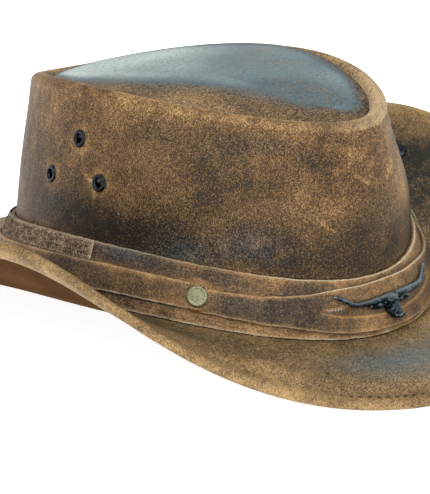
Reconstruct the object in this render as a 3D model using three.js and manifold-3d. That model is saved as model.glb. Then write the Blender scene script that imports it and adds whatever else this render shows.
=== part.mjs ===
// Moulded leather bush hat, in millimetres, +Z up, front towards -Y.
// Angles run round the head from the front (0) over the wearer's right (-X) to the back (180 degrees).
import * as THREE from 'three';
import { mergeVertices } from 'three/addons/utils/BufferGeometryUtils.js';
import Module from 'manifold-3d';

const wasm = await Module();
wasm.setup();

const { sin, cos, abs, max, min, hypot, PI } = Math;
const rad = (degrees) => degrees * PI / 180;

// Leather, thread and running gaps
const CROWN_WALL = 2.0;
const BRIM_WALL = 2.2;
const BAND_WALL = 1.9;
const STRAP_WALL = 1.6;
const PATCH_WALL = 0.9;
const GAP = 0.3;

// Head opening, measured inside, and the line along which crown and brim meet
const HEAD_LENGTH = 203.6;
const HEAD_WIDTH = 169.4;
const HEADLINE_SADDLE = 7.6;
const HEADLINE_PITCH = 1.7;

// Hat band round the foot of the crown
const BAND_HEIGHT = 24.3;
const BAND_LEAN = 9.1;

// Centre line of the rolled rim round the top of the crown
const RIM_HALF_LENGTH = 88.0;
const RIM_HALF_WIDTH = 59.8;
const RIM_SIDES_FORWARD = 1.9;
const RIM_ROLL = 4.0;
const RIM_HEIGHT = 82.4;
const RIM_FRONT_RISE = 4.5;
const RIM_SIDE_RISE = 5.4;
const RIM_CORNER_DROP = 0.7;
// The real rim stands a little higher on the wearer's right, most of all at the back
const RIM_RIGHT_RISE = 2.6;
const RIM_TWIST = 1.5;
// Shares by which the rim is slimmer at both ends, and slimmest at the front
const RIM_SLIM_ENDS = 0.17;
const RIM_SLIM_FRONT = 0.09;
const WALL_BELLY = 1.9;
const WALL_BELLY_FORWARD = 1.7;

// Crease inside the rim, shallower along the wearer's left, and the island that rises from it
const CREASE_DEPTH = 7.0;
const CREASE_DEPTH_LEFT = 2.5;
const DOME_HEIGHT = 91.8;
const DOME_PEAK_AHEAD = 10.0;
const DOME_FRONT_LENGTH = 72.0;
const DOME_BACK_LENGTH = 85.0;
const DOME_FRONT_DROP = 13.3;
const DOME_BACK_DROP = 12.3;
const DOME_BACK_ROUND = 1.7;
// How far in the island's slope ends, and the share of its height that it gains close to the crease
const DOME_SHOULDER = 0.5;
const DOME_SHOULDER_RIGHT = 0.85;
const DOME_LIP = 0.97;
const DOME_LIP_RIGHT = 0.3;
const DOME_LIP_REACH = 0.1;
// Length of the line that the dome's rows close on, as a share of its own
const SPINE_SHARE = 0.6;

// Soft finger dents, one on each side ahead of the middle: centre, reach and depth
const DENT_ANGLE = 36;
const DENT_SPREAD = 17;
const DENT_DEPTH = 1.8;
const DENT_LEVEL = 0.72;
const DENT_REACH = 0.26;

// Brim, with sides rolled up and a turned hem
const BRIM_WIDTH_ENDS = 58.6;
const BRIM_WIDTH_SIDES = 62.8;
const BRIM_ROLL_SHARPNESS = 4.3;
const BRIM_CURL = 1.9;
const BRIM_START_SLOPE_ENDS = -3.6;
const BRIM_START_SLOPE_SIDES = 25.3;
const BRIM_EDGE_SLOPE_SIDES = 61.2;
const BRIM_EDGE_SLOPE_FRONT = -30.7;
const BRIM_EDGE_SLOPE_BACK = -24.4;
const HEM_WIDTH = 7.5;
const HEM_THICKNESS = 4.8;
const REST_FLAT = 1.1;

// Strap ends, keeper bridges and the suede join at the back, by angle
const KEEPER_ANGLE = 58.1;
const KEEPER_WIDTH = 10.0;
const KEEPER_WALL = 1.3;
const KEEPER_TOP = 0.18;
const KEEPER_BOTTOM = 0.86;
const TUNNEL_MARGIN = 0.5;
const PATCH_END_ANGLE = 89;
const PATCH_TOP = -0.03;
const PATCH_BOTTOM = 0.56;
const STRAP_LIFT_SPREAD = 8;

// Edges of each strap as shares of the band's height, counted from its top
const FRONT_STRAP = [
  { angle: 0, top: 0.07, bottom: 0.89 },
  { angle: 19, top: 0.13, bottom: 0.88 },
  { angle: 31, top: 0.25, bottom: 0.81 },
  { angle: 42, top: 0.33, bottom: 0.78 },
  { angle: 58, top: 0.35, bottom: 0.74 },
];
const REAR_STRAP = [
  { angle: 58, top: 0.29, bottom: 0.72 },
  { angle: 88, top: 0.29, bottom: 0.74 },
  { angle: 125, top: 0.33, bottom: 0.77 },
  { angle: 180, top: 0.34, bottom: 0.78 },
];

// Metal fittings
const RIVET_RADIUS = 4.5;
const RIVET_HEIGHT = 1.3;
const RIVET_SHARE = 0.475;
const EYELET_RADIUS = 3.9;
const EYELET_HOLE = 1.9;
const EYELET_BARREL = 2.5;
const EYELET_FLANGE = 0.8;
// Level is the share of the way from the band's top to the rim
const EYELETS = [
  { name: 'upper', angle: 101.3, level: 0.7 },
  { name: 'front', angle: 91.2, level: 0.42 },
  { name: 'back', angle: 110.9, level: 0.4 },
];
const SNAP_ANGLE = 86;
const SNAP_SHARE = 0.62;
const SNAP_RADIUS = 3.8;
const SNAP_HEIGHT = 2.2;

// Bull head badge, centred on the front strap
const BADGE_SPAN = 62.0;
const BADGE_LEVEL = 0.47;
// Rows along a horn in shares of half the span: distance out, height, stand-off and radius
const HORN = [
  { out: 0.05, up: 0.1, proud: 0.045, radius: 0.05 },
  { out: 0.3, up: 0.09, proud: 0.05, radius: 0.046 },
  { out: 0.52, up: 0.072, proud: 0.05, radius: 0.043 },
  { out: 0.68, up: 0.064, proud: 0.048, radius: 0.038 },
  { out: 0.8, up: 0.11, proud: 0.046, radius: 0.031 },
  { out: 0.98, up: 0.19, proud: 0.042, radius: 0.02 },
];
const HEAD_LUMPS = [
  { name: 'forehead', across: 0, up: 0.05, proud: 0.04, wide: 0.15, tall: 0.105, deep: 0.085 },
  { name: 'muzzle', across: 0, up: -0.09, proud: 0.04, wide: 0.09, tall: 0.14, deep: 0.075 },
  { name: 'nose', across: 0, up: -0.18, proud: 0.04, wide: 0.085, tall: 0.055, deep: 0.08 },
  { name: 'right ear', across: -0.25, up: 0.01, proud: 0.025, wide: 0.15, tall: 0.042, deep: 0.045 },
  { name: 'left ear', across: 0.25, up: 0.01, proud: 0.025, wide: 0.15, tall: 0.042, deep: 0.045 },
];

// Mesh fineness
const ROUND = 60;
const BRIM_STEPS = 8;
const CURL_STEPS = 24;

// Half axes of the outer foot of the band, which every other ring is set off from
const FOOT_WALLS = CROWN_WALL + GAP + BAND_WALL;
const FOOT_LENGTH = HEAD_LENGTH / 2 + FOOT_WALLS;
const FOOT_WIDTH = HEAD_WIDTH / 2 + FOOT_WALLS;

const UP = new THREE.Vector3(0, 0, 1);

function headNormal(u) {
  return new THREE.Vector3(-sin(u) * FOOT_LENGTH, -cos(u) * FOOT_WIDTH, 0).normalize();
}

function foot(u) {
  const height = -HEADLINE_SADDLE * cos(2 * u) + HEADLINE_PITCH * cos(u);
  return new THREE.Vector3(-FOOT_WIDTH * sin(u), -FOOT_LENGTH * cos(u), height);
}

// A place on the band: share of its height from the top, and a level offset out from its outer face
function bandPoint(u, share, offset) {
  const normal = headNormal(u);
  const rise = new THREE.Vector3(0, 0, BAND_HEIGHT).addScaledVector(normal, -BAND_LEAN);
  return foot(u).addScaledVector(rise, 1 - share).addScaledVector(normal, offset);
}

// Straight reading between the rows of a table
function between(rows, angle, column) {
  const last = rows.length - 1;
  const next = rows.findIndex((row) => row.angle >= angle);
  if (next <= 0) return rows[next === 0 ? 0 : last][column];
  const low = rows[next - 1];
  const high = rows[next];
  const share = (angle - low.angle) / (high.angle - low.angle);
  return low[column] + (high[column] - low[column]) * share;
}

const smooth = (x) => {
  const t = min(1, max(0, x));
  return t * t * (3 - 2 * t);
};

// Crown

function rimCentre(u) {
  const c = cos(u);
  const width = RIM_HALF_WIDTH * (1 - RIM_SLIM_FRONT * c - RIM_SLIM_ENDS * c * c);
  const rise = RIM_FRONT_RISE * c - RIM_SIDE_RISE * cos(2 * u) + RIM_CORNER_DROP * cos(3 * u);
  const skew = RIM_RIGHT_RISE * sin(u) - RIM_TWIST * sin(2 * u);
  const ahead = RIM_SIDES_FORWARD * cos(2 * u) - RIM_HALF_LENGTH * c;
  return new THREE.Vector3(-width * sin(u), ahead, RIM_HEIGHT + rise + skew);
}

function rimNormal(u) {
  const step = 0.001;
  const along = rimCentre(u + step).sub(rimCentre(u - step));
  return new THREE.Vector3(-along.y, along.x, 0).normalize();
}

function dent(angle, level) {
  const side = abs(((angle + 180) % 360 + 360) % 360 - 180);
  const round = (side - DENT_ANGLE) / DENT_SPREAD;
  const upward = (level - DENT_LEVEL) / DENT_REACH;
  return DENT_DEPTH * Math.exp(-round * round - upward * upward);
}

// Outer face of the crown between the band's top (level 0) and the rolled rim (level 1)
function wallPoint(u, level) {
  const low = bandPoint(u, 0, -BAND_WALL - GAP);
  const high = rimCentre(u).addScaledVector(rimNormal(u), RIM_ROLL);
  const belly = WALL_BELLY + WALL_BELLY_FORWARD * cos(u);
  const push = belly * sin(PI * level) - dent(u * 180 / PI, level);
  return low.lerp(high, level).addScaledVector(headNormal(u), push);
}

function domeHeight(y) {
  const ahead = -y - DOME_PEAK_AHEAD;
  if (ahead > 0) return DOME_HEIGHT - DOME_FRONT_DROP * (ahead / DOME_FRONT_LENGTH) ** 2;
  return DOME_HEIGHT - DOME_BACK_DROP * (-ahead / DOME_BACK_LENGTH) ** DOME_BACK_ROUND;
}

// 1 along the wearer's right, where the island slopes gently, and 0 at both ends and on the left
function domeRight(angle) {
  return smooth((angle - 12) / 40) * smooth((150 - angle) / 30);
}

// 1 along the wearer's left, where the crease is shallow, and 0 at both ends and on the right
function domeLeft(angle) {
  return smooth((-angle - 2) / 35) * smooth((178 + angle) / 20);
}

// Top of the crown inside the rim: reach is 1 at the crease and 0 at the middle
function domePoint(u, reach) {
  const angle = ((u * 180 / PI + 180) % 360 + 360) % 360 - 180;
  const right = domeRight(angle);
  const crease = rimCentre(u).addScaledVector(rimNormal(u), -RIM_ROLL);
  crease.z += RIM_ROLL - CREASE_DEPTH + (CREASE_DEPTH - CREASE_DEPTH_LEFT) * domeLeft(angle);
  const middle = new THREE.Vector3(0, crease.y * SPINE_SHARE, 0);
  const point = middle.lerp(crease, reach);
  const inward = 1 - reach;
  const lip = DOME_LIP + (DOME_LIP_RIGHT - DOME_LIP) * right;
  const shoulder = DOME_SHOULDER + (DOME_SHOULDER_RIGHT - DOME_SHOULDER) * right;
  const climb = lip * smooth(inward / DOME_LIP_REACH) + (1 - lip) * min(1, inward / shoulder);
  point.z = crease.z + (domeHeight(point.y) - crease.z) * climb;
  return point;
}

function crownRows(u) {
  const low = [1, 0.5, 0].map((share) => bandPoint(u, share, -BAND_WALL - GAP));
  const wall = [0.2, 0.4, 0.6, 0.8, 1].map((level) => wallPoint(u, level));
  const roll = [45, 90, 135].map((angle) => rimCentre(u)
    .addScaledVector(rimNormal(u), RIM_ROLL * cos(rad(angle)))
    .addScaledVector(UP, RIM_ROLL * sin(rad(angle))));
  const dome = [1, 0.9, 0.72, 0.5, 0.25, 0].map((reach) => domePoint(u, reach));
  return [...low, ...wall, ...roll, ...dome];
}

// Face normals of a grid of rows that closes round the head, pointing out of the hat
function gridNormals(rows) {
  return rows.map((row, i) => row.map((point, j) => {
    const lower = rows[max(0, i - 1)][j];
    const upper = rows[min(rows.length - 1, i + 1)][j];
    const before = row[(j + row.length - 1) % row.length];
    const after = row[(j + 1) % row.length];
    return upper.clone().sub(lower).cross(after.clone().sub(before)).normalize();
  }));
}

function angles(count) {
  return Array.from({ length: count }, (_, j) => 2 * PI * j / count);
}

function crownGeometry() {
  const columns = angles(ROUND).map((u) => crownRows(u));
  const outer = columns[0].map((_, i) => columns.map((column) => column[i]));
  const normals = gridNormals(outer);
  const shift = (row, directions) => row
    .map((point, j) => point.clone().addScaledVector(directions[j], -CROWN_WALL));
  const inner = outer.map((row, i) => shift(row, normals[i]));
  inner[0] = shift(outer[0], angles(ROUND).map(headNormal));
  inner[inner.length - 1] = shift(outer.at(-1), outer.at(-1).map(() => UP));
  return ringGeometry([...inner.toReversed(), ...outer], { closed: false });
}

// Meshes

function geometryFrom(points, faces) {
  const geometry = new THREE.BufferGeometry();
  const numbers = points.flatMap((p) => [p.x, p.y, p.z]);
  geometry.setAttribute('position', new THREE.Float32BufferAttribute(numbers, 3));
  geometry.setIndex(faces.flat());
  return geometry;
}

// Rows of points round the head: a tube of rows, or a skin whose first and last rows fold flat on a line
function ringGeometry(rows, { closed }) {
  const count = rows[0].length;
  const faces = [];
  const at = (i, j) => (i % rows.length) * count + (j % count);
  const spans = closed ? rows.length : rows.length - 1;
  for (let i = 0; i < spans; i += 1) {
    for (let j = 0; j < count; j += 1) {
      faces.push([at(i, j), at(i + 1, j), at(i + 1, j + 1)]);
      faces.push([at(i, j), at(i + 1, j + 1), at(i, j + 1)]);
    }
  }
  return geometryFrom(rows.flat(), faces);
}

// A convex section carried from one angle to another, with both ends closed
function sectorGeometry(start, end, section) {
  const count = max(2, Math.round((end - start) / (360 / ROUND)));
  const list = Array.from({ length: count + 1 }, (_, j) => start + (end - start) * j / count);
  const columns = list.map((angle) => section(rad(angle)));
  const size = columns[0].length;
  const faces = [];
  for (let j = 0; j < count; j += 1) {
    for (let i = 0; i < size; i += 1) {
      const next = (i + 1) % size;
      const low = j * size;
      const high = low + size;
      faces.push([low + i, low + next, high + next], [low + i, high + next, high + i]);
    }
  }
  for (let i = 1; i < size - 1; i += 1) {
    faces.push([0, i + 1, i]);
    faces.push([count * size, count * size + i, count * size + i + 1]);
  }
  return geometryFrom(columns.flat(), faces);
}

function solid(geometry) {
  const bare = geometry.clone();
  bare.deleteAttribute('normal');
  bare.deleteAttribute('uv');
  const merged = mergeVertices(bare, 1e-4);
  return new wasm.Manifold(new wasm.Mesh({
    numProp: 3,
    vertProperties: new Float32Array(merged.attributes.position.array),
    triVerts: new Uint32Array(merged.index.array),
  }));
}

function geometryOf(body) {
  const mesh = body.getMesh();
  const geometry = new THREE.BufferGeometry();
  const numbers = new Float32Array(mesh.vertProperties);
  geometry.setAttribute('position', new THREE.BufferAttribute(numbers, 3));
  geometry.setIndex(new THREE.BufferAttribute(new Uint32Array(mesh.triVerts), 1));
  return geometry;
}

// Places a shape that points along +Z so that it stands on a face at a point
function standOn(geometry, point, normal) {
  const turn = new THREE.Quaternion().setFromUnitVectors(UP, normal);
  return geometry.clone().applyQuaternion(turn).translate(point.x, point.y, point.z);
}

// Brim

// Weight of the sides' shape at an angle: 1 at the side, 0 at the front and back
function sideShare(u) {
  return abs(sin(u)) ** BRIM_ROLL_SHARPNESS;
}

// Line through the middle of the hem, from the foot of the band outwards, with its face normals
function brimRun(u) {
  const share = sideShare(u);
  const endSlope = cos(u) > 0 ? BRIM_EDGE_SLOPE_FRONT : BRIM_EDGE_SLOPE_BACK;
  const startSlope = BRIM_START_SLOPE_ENDS * (1 - share) + BRIM_START_SLOPE_SIDES * share;
  const edgeSlope = endSlope * (1 - share) + BRIM_EDGE_SLOPE_SIDES * share;
  const width = BRIM_WIDTH_ENDS * (1 - share) + BRIM_WIDTH_SIDES * share;
  const out = headNormal(u);
  const place = foot(u).addScaledVector(UP, -GAP);
  const run = [];
  for (let k = 0; k <= CURL_STEPS; k += 1) {
    const slope = rad(startSlope + (edgeSlope - startSlope) * (k / CURL_STEPS) ** BRIM_CURL);
    const normal = out.clone().multiplyScalar(-sin(slope)).addScaledVector(UP, cos(slope));
    run.push({ point: place.clone(), normal });
    const mid = rad(startSlope + (edgeSlope - startSlope) * ((k + 0.5) / CURL_STEPS) ** BRIM_CURL);
    place.addScaledVector(out, cos(mid) * width / CURL_STEPS);
    place.addScaledVector(UP, sin(mid) * width / CURL_STEPS);
  }
  return { run, width };
}

// Upper face of the brim at a share of its width: it climbs from that line to the top of the hem
function brimTop(run, share) {
  const place = min(max(share, 0), 1) * CURL_STEPS;
  const k = min(CURL_STEPS - 1, Math.floor(place));
  const normal = run[k].normal.clone().lerp(run[k + 1].normal, place - k).normalize();
  const point = run[k].point.clone().lerp(run[k + 1].point, place - k);
  return { point: point.addScaledVector(normal, HEM_THICKNESS / 2 * smooth(share)), normal };
}

// One section of the brim, in over its top, down inside the crown and out under the hem
function brimSection(u) {
  const { run, width } = brimRun(u);
  const out = headNormal(u);
  const nose = HEM_THICKNESS / 2;
  const noseShare = 1 - nose / width;
  const hemShare = 1 - HEM_WIDTH / width;
  const top = Array.from({ length: BRIM_STEPS + 1 }, (_, i) => {
    const share = noseShare * (1 - i / BRIM_STEPS);
    return brimTop(run, share).point;
  });
  const inside = [0, -BRIM_WALL].map((drop) => foot(u)
    .addScaledVector(out, -FOOT_WALLS)
    .addScaledVector(UP, drop - GAP));
  const under = Array.from({ length: BRIM_STEPS - 1 }, (_, i) => {
    const { point, normal } = brimTop(run, hemShare * i / (BRIM_STEPS - 2));
    return point.addScaledVector(normal, -BRIM_WALL);
  });
  const flap = [hemShare, noseShare].map((share) => {
    const { point, normal } = brimTop(run, share);
    return point.addScaledVector(normal, -HEM_THICKNESS);
  });
  const edge = brimTop(run, noseShare);
  const along = new THREE.Vector3(-out.y, out.x, 0).cross(edge.normal).normalize();
  const round = [-45, 0, 45].map((angle) => edge.point.clone()
    .addScaledVector(edge.normal, -nose + nose * sin(rad(angle)))
    .addScaledVector(along, nose * cos(rad(angle))));
  return [...top, ...inside, ...under, ...flap, ...round];
}

function lowestOf(u) {
  return min(...brimSection(u).map((p) => p.z));
}

// Level on which the flattened hem rests, the same at the front and the back
const REST_LEVEL = max(lowestOf(0), lowestOf(PI)) + REST_FLAT;

function brimGeometry() {
  const columns = angles(ROUND).map((u) => brimSection(u));
  for (const point of columns.flat()) point.z = max(point.z, REST_LEVEL);
  const rows = columns[0].map((_, i) => columns.map((column) => column[i]));
  return ringGeometry(rows, { closed: true });
}

// Band, keeper bridges, straps and join patch

// The rear strap climbs onto the join patch just ahead of the patch's end
function strapLift(angle) {
  const climb = smooth(1 + (angle - PATCH_END_ANGLE) / STRAP_LIFT_SPREAD);
  return GAP + (PATCH_WALL + GAP) * climb;
}

// Section of a flat piece on the band, between two shares of its height and two levels off its face
function slab(u, top, bottom, low, high) {
  const corners = [[bottom, high], [top, high], [top, low], [bottom, low]];
  return corners.map(([share, offset]) => bandPoint(u, share, offset));
}

// Half the keeper's width as an angle
const KEEPER_SPREAD = (() => {
  const step = rad(1);
  const at = rad(KEEPER_ANGLE);
  return KEEPER_WIDTH / 2 / bandPoint(at, 0.5, 0).distanceTo(bandPoint(at + step, 0.5, 0));
})();
const TUNNEL_HEIGHT = GAP + STRAP_WALL + GAP;
const KEEPER_FACE = TUNNEL_HEIGHT + KEEPER_WALL;
const STRAPS = [FRONT_STRAP, REAR_STRAP];
const TUNNEL_TOP = min(...STRAPS.map((rows) => between(rows, KEEPER_ANGLE, 'top')))
  - TUNNEL_MARGIN / BAND_HEIGHT;
const TUNNEL_BOTTOM = max(...STRAPS.map((rows) => between(rows, KEEPER_ANGLE, 'bottom')))
  + TUNNEL_MARGIN / BAND_HEIGHT;

function keeperBody(side) {
  const sink = BAND_WALL / 2;
  const turn = (spread) => [side * KEEPER_ANGLE - spread, side * KEEPER_ANGLE + spread];
  const block = sectorGeometry(...turn(KEEPER_SPREAD),
    (u) => slab(u, KEEPER_TOP, KEEPER_BOTTOM, -sink, KEEPER_FACE));
  const tunnel = sectorGeometry(...turn(2 * KEEPER_SPREAD),
    (u) => slab(u, TUNNEL_TOP, TUNNEL_BOTTOM, -sink / 2, TUNNEL_HEIGHT));
  return solid(block).subtract(solid(tunnel));
}

function bandGeometry() {
  const columns = angles(ROUND).map((u) => slab(u, 0, 1, -BAND_WALL, 0));
  const rows = columns[0].map((_, i) => columns.map((column) => column[i]));
  const ring = solid(ringGeometry(rows, { closed: true }));
  return geometryOf(ring.add(keeperBody(1)).add(keeperBody(-1)));
}

function strapSection(rows) {
  return (u) => {
    const angle = abs(u * 180 / PI);
    const folded = angle > 180 ? 360 - angle : angle;
    const lift = strapLift(folded);
    return slab(u, between(rows, folded, 'top'), between(rows, folded, 'bottom'), lift, lift + STRAP_WALL);
  };
}

function frontStrapGeometry() {
  const end = KEEPER_ANGLE - KEEPER_SPREAD / 4;
  return sectorGeometry(-end, end, strapSection(FRONT_STRAP));
}

function rearStrapGeometry() {
  const end = KEEPER_ANGLE + KEEPER_SPREAD / 4;
  return sectorGeometry(end, 360 - end, strapSection(REAR_STRAP));
}

function patchGeometry() {
  return sectorGeometry(PATCH_END_ANGLE, 360 - PATCH_END_ANGLE,
    (u) => slab(u, PATCH_TOP, PATCH_BOTTOM, GAP, GAP + PATCH_WALL));
}

// Metal fittings

// A turned shape from rows of radius and height; a ring's rows close on themselves
function turned(rows, sides) {
  const points = rows.map(([radius, height]) => new THREE.Vector2(radius, height));
  return new THREE.LatheGeometry(points, sides).rotateX(PI / 2);
}

function wallNormal(u, level) {
  const step = 0.01;
  const up = wallPoint(u, level + step).sub(wallPoint(u, level - step));
  const along = wallPoint(u + step, level).sub(wallPoint(u - step, level));
  return up.cross(along).normalize();
}

function eyeletPlace(side, { angle, level }) {
  const u = side * rad(angle);
  return { point: wallPoint(u, level), normal: wallNormal(u, level) };
}

function eyeletShape() {
  const under = -CROWN_WALL - GAP;
  return turned([
    [EYELET_HOLE, under - EYELET_FLANGE],
    [EYELET_RADIUS * 0.9, under - EYELET_FLANGE],
    [EYELET_RADIUS * 0.9, under],
    [EYELET_BARREL, under],
    [EYELET_BARREL, GAP],
    [EYELET_RADIUS, GAP],
    [EYELET_RADIUS * 0.9, GAP + EYELET_FLANGE],
    [EYELET_HOLE, GAP + EYELET_FLANGE],
    [EYELET_HOLE, under - EYELET_FLANGE],
  ], 10);
}

function crownWithHoles() {
  const reach = 4 * CROWN_WALL;
  const bore = EYELET_BARREL + GAP;
  let body = solid(crownGeometry());
  for (const side of [1, -1]) {
    for (const eyelet of EYELETS) {
      const { point, normal } = eyeletPlace(side, eyelet);
      const drill = new THREE.CylinderGeometry(bore, bore, reach, 12).rotateX(PI / 2);
      body = body.subtract(solid(standOn(drill, point, normal)));
    }
  }
  return geometryOf(body);
}

function rivetShape() {
  return turned([
    [0, 0],
    [RIVET_RADIUS, 0],
    [RIVET_RADIUS, RIVET_HEIGHT * 0.5],
    [RIVET_RADIUS * 0.92, RIVET_HEIGHT],
    [RIVET_RADIUS * 0.78, RIVET_HEIGHT],
    [RIVET_RADIUS * 0.7, RIVET_HEIGHT * 0.75],
    [0, RIVET_HEIGHT * 0.9],
  ], 20);
}

function bandNormal(u) {
  const step = 0.01;
  const up = bandPoint(u, 0.4, 0).sub(bandPoint(u, 0.6, 0));
  const along = bandPoint(u + step, 0.5, 0).sub(bandPoint(u - step, 0.5, 0));
  return up.cross(along).normalize();
}

function rivetGeometry(side) {
  const u = side * rad(KEEPER_ANGLE);
  const normal = bandNormal(u);
  const point = bandPoint(u, RIVET_SHARE, KEEPER_FACE).addScaledVector(normal, GAP);
  return standOn(rivetShape(), point, normal);
}

function snapShape() {
  return turned([
    [0, 0],
    [SNAP_RADIUS, 0],
    [SNAP_RADIUS, SNAP_HEIGHT * 0.3],
    [SNAP_RADIUS * 0.6, SNAP_HEIGHT * 0.45],
    [SNAP_RADIUS * 0.5, SNAP_HEIGHT * 0.7],
    [SNAP_RADIUS * 0.55, SNAP_HEIGHT * 0.9],
    [SNAP_RADIUS * 0.4, SNAP_HEIGHT],
    [0, SNAP_HEIGHT],
  ], 16);
}

function snapGeometry(side) {
  const { run } = brimRun(side * rad(SNAP_ANGLE));
  const { point, normal } = brimTop(run, SNAP_SHARE);
  return standOn(snapShape(), point.addScaledVector(normal, 2 * GAP), normal);
}

// Bull head badge, modelled flat and then bent round the front of the band

function hornGeometry(side) {
  const half = BADGE_SPAN / 2;
  const middles = HORN
    .map((row) => new THREE.Vector3(side * row.out, row.up, row.proud).multiplyScalar(half));
  const sides = 8;
  const points = [];
  HORN.forEach((row, i) => {
    const before = middles[max(0, i - 1)];
    const after = middles[min(HORN.length - 1, i + 1)];
    const along = after.clone().sub(before).normalize();
    const across = new THREE.Vector3().crossVectors(along, UP).normalize();
    const rise = new THREE.Vector3().crossVectors(along, across);
    for (let j = 0; j < sides; j += 1) {
      const turn = 2 * PI * j / sides;
      points.push(middles[i].clone()
        .addScaledVector(across, row.radius * half * cos(turn))
        .addScaledVector(rise, row.radius * half * sin(turn)));
    }
  });
  const faces = [];
  for (let i = 0; i < HORN.length - 1; i += 1) {
    for (let j = 0; j < sides; j += 1) {
      const next = (j + 1) % sides;
      const low = i * sides;
      const high = low + sides;
      faces.push([low + j, low + next, high + next], [low + j, high + next, high + j]);
    }
  }
  const tip = (HORN.length - 1) * sides;
  for (let j = 1; j < sides - 1; j += 1) {
    faces.push([0, j + 1, j], [tip, tip + j, tip + j + 1]);
  }
  return geometryFrom(points, faces);
}

function lumpGeometry(lump) {
  const half = BADGE_SPAN / 2;
  return new THREE.SphereGeometry(half, 12, 8)
    .scale(lump.wide, lump.tall, lump.deep)
    .translate(half * lump.across, half * lump.up, half * lump.proud);
}

function mapPoints(geometry, change) {
  const place = geometry.attributes.position;
  for (let i = 0; i < place.count; i += 1) {
    const point = change(new THREE.Vector3().fromBufferAttribute(place, i));
    place.setXYZ(i, point.x, point.y, point.z);
  }
  return geometry;
}

function badgeGeometry() {
  const flatBack = (point) => point.setZ(max(0, point.z));
  const pieces = [hornGeometry(1), hornGeometry(-1), ...HEAD_LUMPS.map(lumpGeometry)];
  const solids = pieces.map((piece) => solid(mapPoints(piece, flatBack)));
  const body = solids.reduce((sum, next) => sum.add(next));
  const step = 0.01;
  const right = bandPoint(step, BADGE_LEVEL, 0);
  const perRadian = right.distanceTo(bandPoint(-step, BADGE_LEVEL, 0)) / (2 * step);
  const slant = hypot(BAND_HEIGHT, BAND_LEAN);
  const level = BAND_HEIGHT / slant;
  const seat = strapLift(0) + STRAP_WALL + GAP / level;
  const bend = (p) => bandPoint(-p.x / perRadian, BADGE_LEVEL - p.y / slant, seat + p.z / level);
  return mapPoints(geometryOf(body), bend);
}

// Materials

const leather = (color) => new THREE.MeshStandardMaterial({ color, roughness: 0.62, metalness: 0 });
const metal = (color, roughness) => new THREE.MeshStandardMaterial({ color, roughness, metalness: 1 });
const crownLeather = leather('#6a4a2c');
const brimLeather = leather('#7a5530');
const bandLeather = leather('#5f4228');
const strapLeather = leather('#57402c');
const suede = new THREE.MeshStandardMaterial({ color: '#7d6a59', roughness: 0.95, metalness: 0 });
const brass = metal('#8f8a5a', 0.45);
const gunmetal = metal('#39434a', 0.38);
const blackMetal = metal('#15161a', 0.35);

// Assembly

const hat = new THREE.Group();

function addPiece(name, geometry, material) {
  const mesh = new THREE.Mesh(geometry, material);
  mesh.name = name;
  hat.add(mesh);
}

addPiece('crown', crownWithHoles(), crownLeather);
addPiece('brim', brimGeometry(), brimLeather);
addPiece('hat_band', bandGeometry(), bandLeather);
addPiece('front_strap', frontStrapGeometry(), strapLeather);
addPiece('rear_strap', rearStrapGeometry(), strapLeather);
addPiece('band_join_patch', patchGeometry(), suede);
addPiece('bull_head_badge', badgeGeometry(), gunmetal);
for (const [side, hand] of [[1, 'right'], [-1, 'left']]) {
  addPiece(`band_rivet_${hand}`, rivetGeometry(side), brass);
  addPiece(`brim_snap_${hand}`, snapGeometry(side), blackMetal);
  for (const eyelet of EYELETS) {
    const { point, normal } = eyeletPlace(side, eyelet);
    addPiece(`vent_eyelet_${eyelet.name}_${hand}`, standOn(eyeletShape(), point, normal), blackMetal);
  }
}

// Stands the hat on its hem, centred over the origin
const reach = new THREE.Box3().setFromObject(hat);
const middle = reach.getCenter(new THREE.Vector3());
hat.position.set(-middle.x, -middle.y, -REST_LEVEL);

export default hat;
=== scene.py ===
"""Looks of a moulded leather bush hat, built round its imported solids.

Places and sizes are in millimetres until a mesh is finished, then in metres. +Z is up and -Y the front.
Angles run round the head from the front (0) over the wearer's right (-X) to the back (180 degrees).
"""
from math import copysign, cos, degrees, exp, hypot, pi, radians, sin

import bmesh
import bpy
from mathutils import Matrix, Vector, noise


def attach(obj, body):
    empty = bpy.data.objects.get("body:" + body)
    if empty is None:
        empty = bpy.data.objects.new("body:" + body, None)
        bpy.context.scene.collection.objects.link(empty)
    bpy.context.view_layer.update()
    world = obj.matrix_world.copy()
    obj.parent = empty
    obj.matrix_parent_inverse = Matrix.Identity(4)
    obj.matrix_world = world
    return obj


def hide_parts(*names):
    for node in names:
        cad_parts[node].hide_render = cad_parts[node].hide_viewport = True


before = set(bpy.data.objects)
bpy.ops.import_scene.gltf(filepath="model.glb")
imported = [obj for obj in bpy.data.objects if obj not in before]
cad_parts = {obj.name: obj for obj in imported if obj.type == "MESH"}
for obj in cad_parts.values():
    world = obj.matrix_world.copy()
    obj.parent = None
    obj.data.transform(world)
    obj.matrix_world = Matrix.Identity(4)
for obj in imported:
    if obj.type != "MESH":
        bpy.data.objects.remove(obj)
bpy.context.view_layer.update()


def table(words, *rows):
    """Rows of numbers under the words that name their columns."""
    return [dict(zip(words.split(), row)) for row in rows]

MM = 0.001
UP = Vector((0, 0, 1))
# How far the hat's own drawing is moved to stand on the floor, centred
STAND = Vector((0, -0.246, 19.203))

# Leather and running gaps
CROWN_WALL = 2.0
BRIM_WALL = 2.2
BAND_WALL = 1.9
STRAP_WALL = 1.6
PATCH_WALL = 0.9
GAP = 0.3

# Head opening and band
HEAD_LENGTH = 203.6
HEAD_WIDTH = 169.4
HEADLINE_SADDLE = 7.6
HEADLINE_PITCH = 1.7
BAND_HEIGHT = 24.3
BAND_LEAN = 9.1
FOOT_WALLS = CROWN_WALL + GAP + BAND_WALL
FOOT_LENGTH = HEAD_LENGTH / 2 + FOOT_WALLS
FOOT_WIDTH = HEAD_WIDTH / 2 + FOOT_WALLS
MEAN_RADIUS = (FOOT_LENGTH + FOOT_WIDTH) / 2
SLANT = hypot(BAND_HEIGHT, BAND_LEAN)

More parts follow.
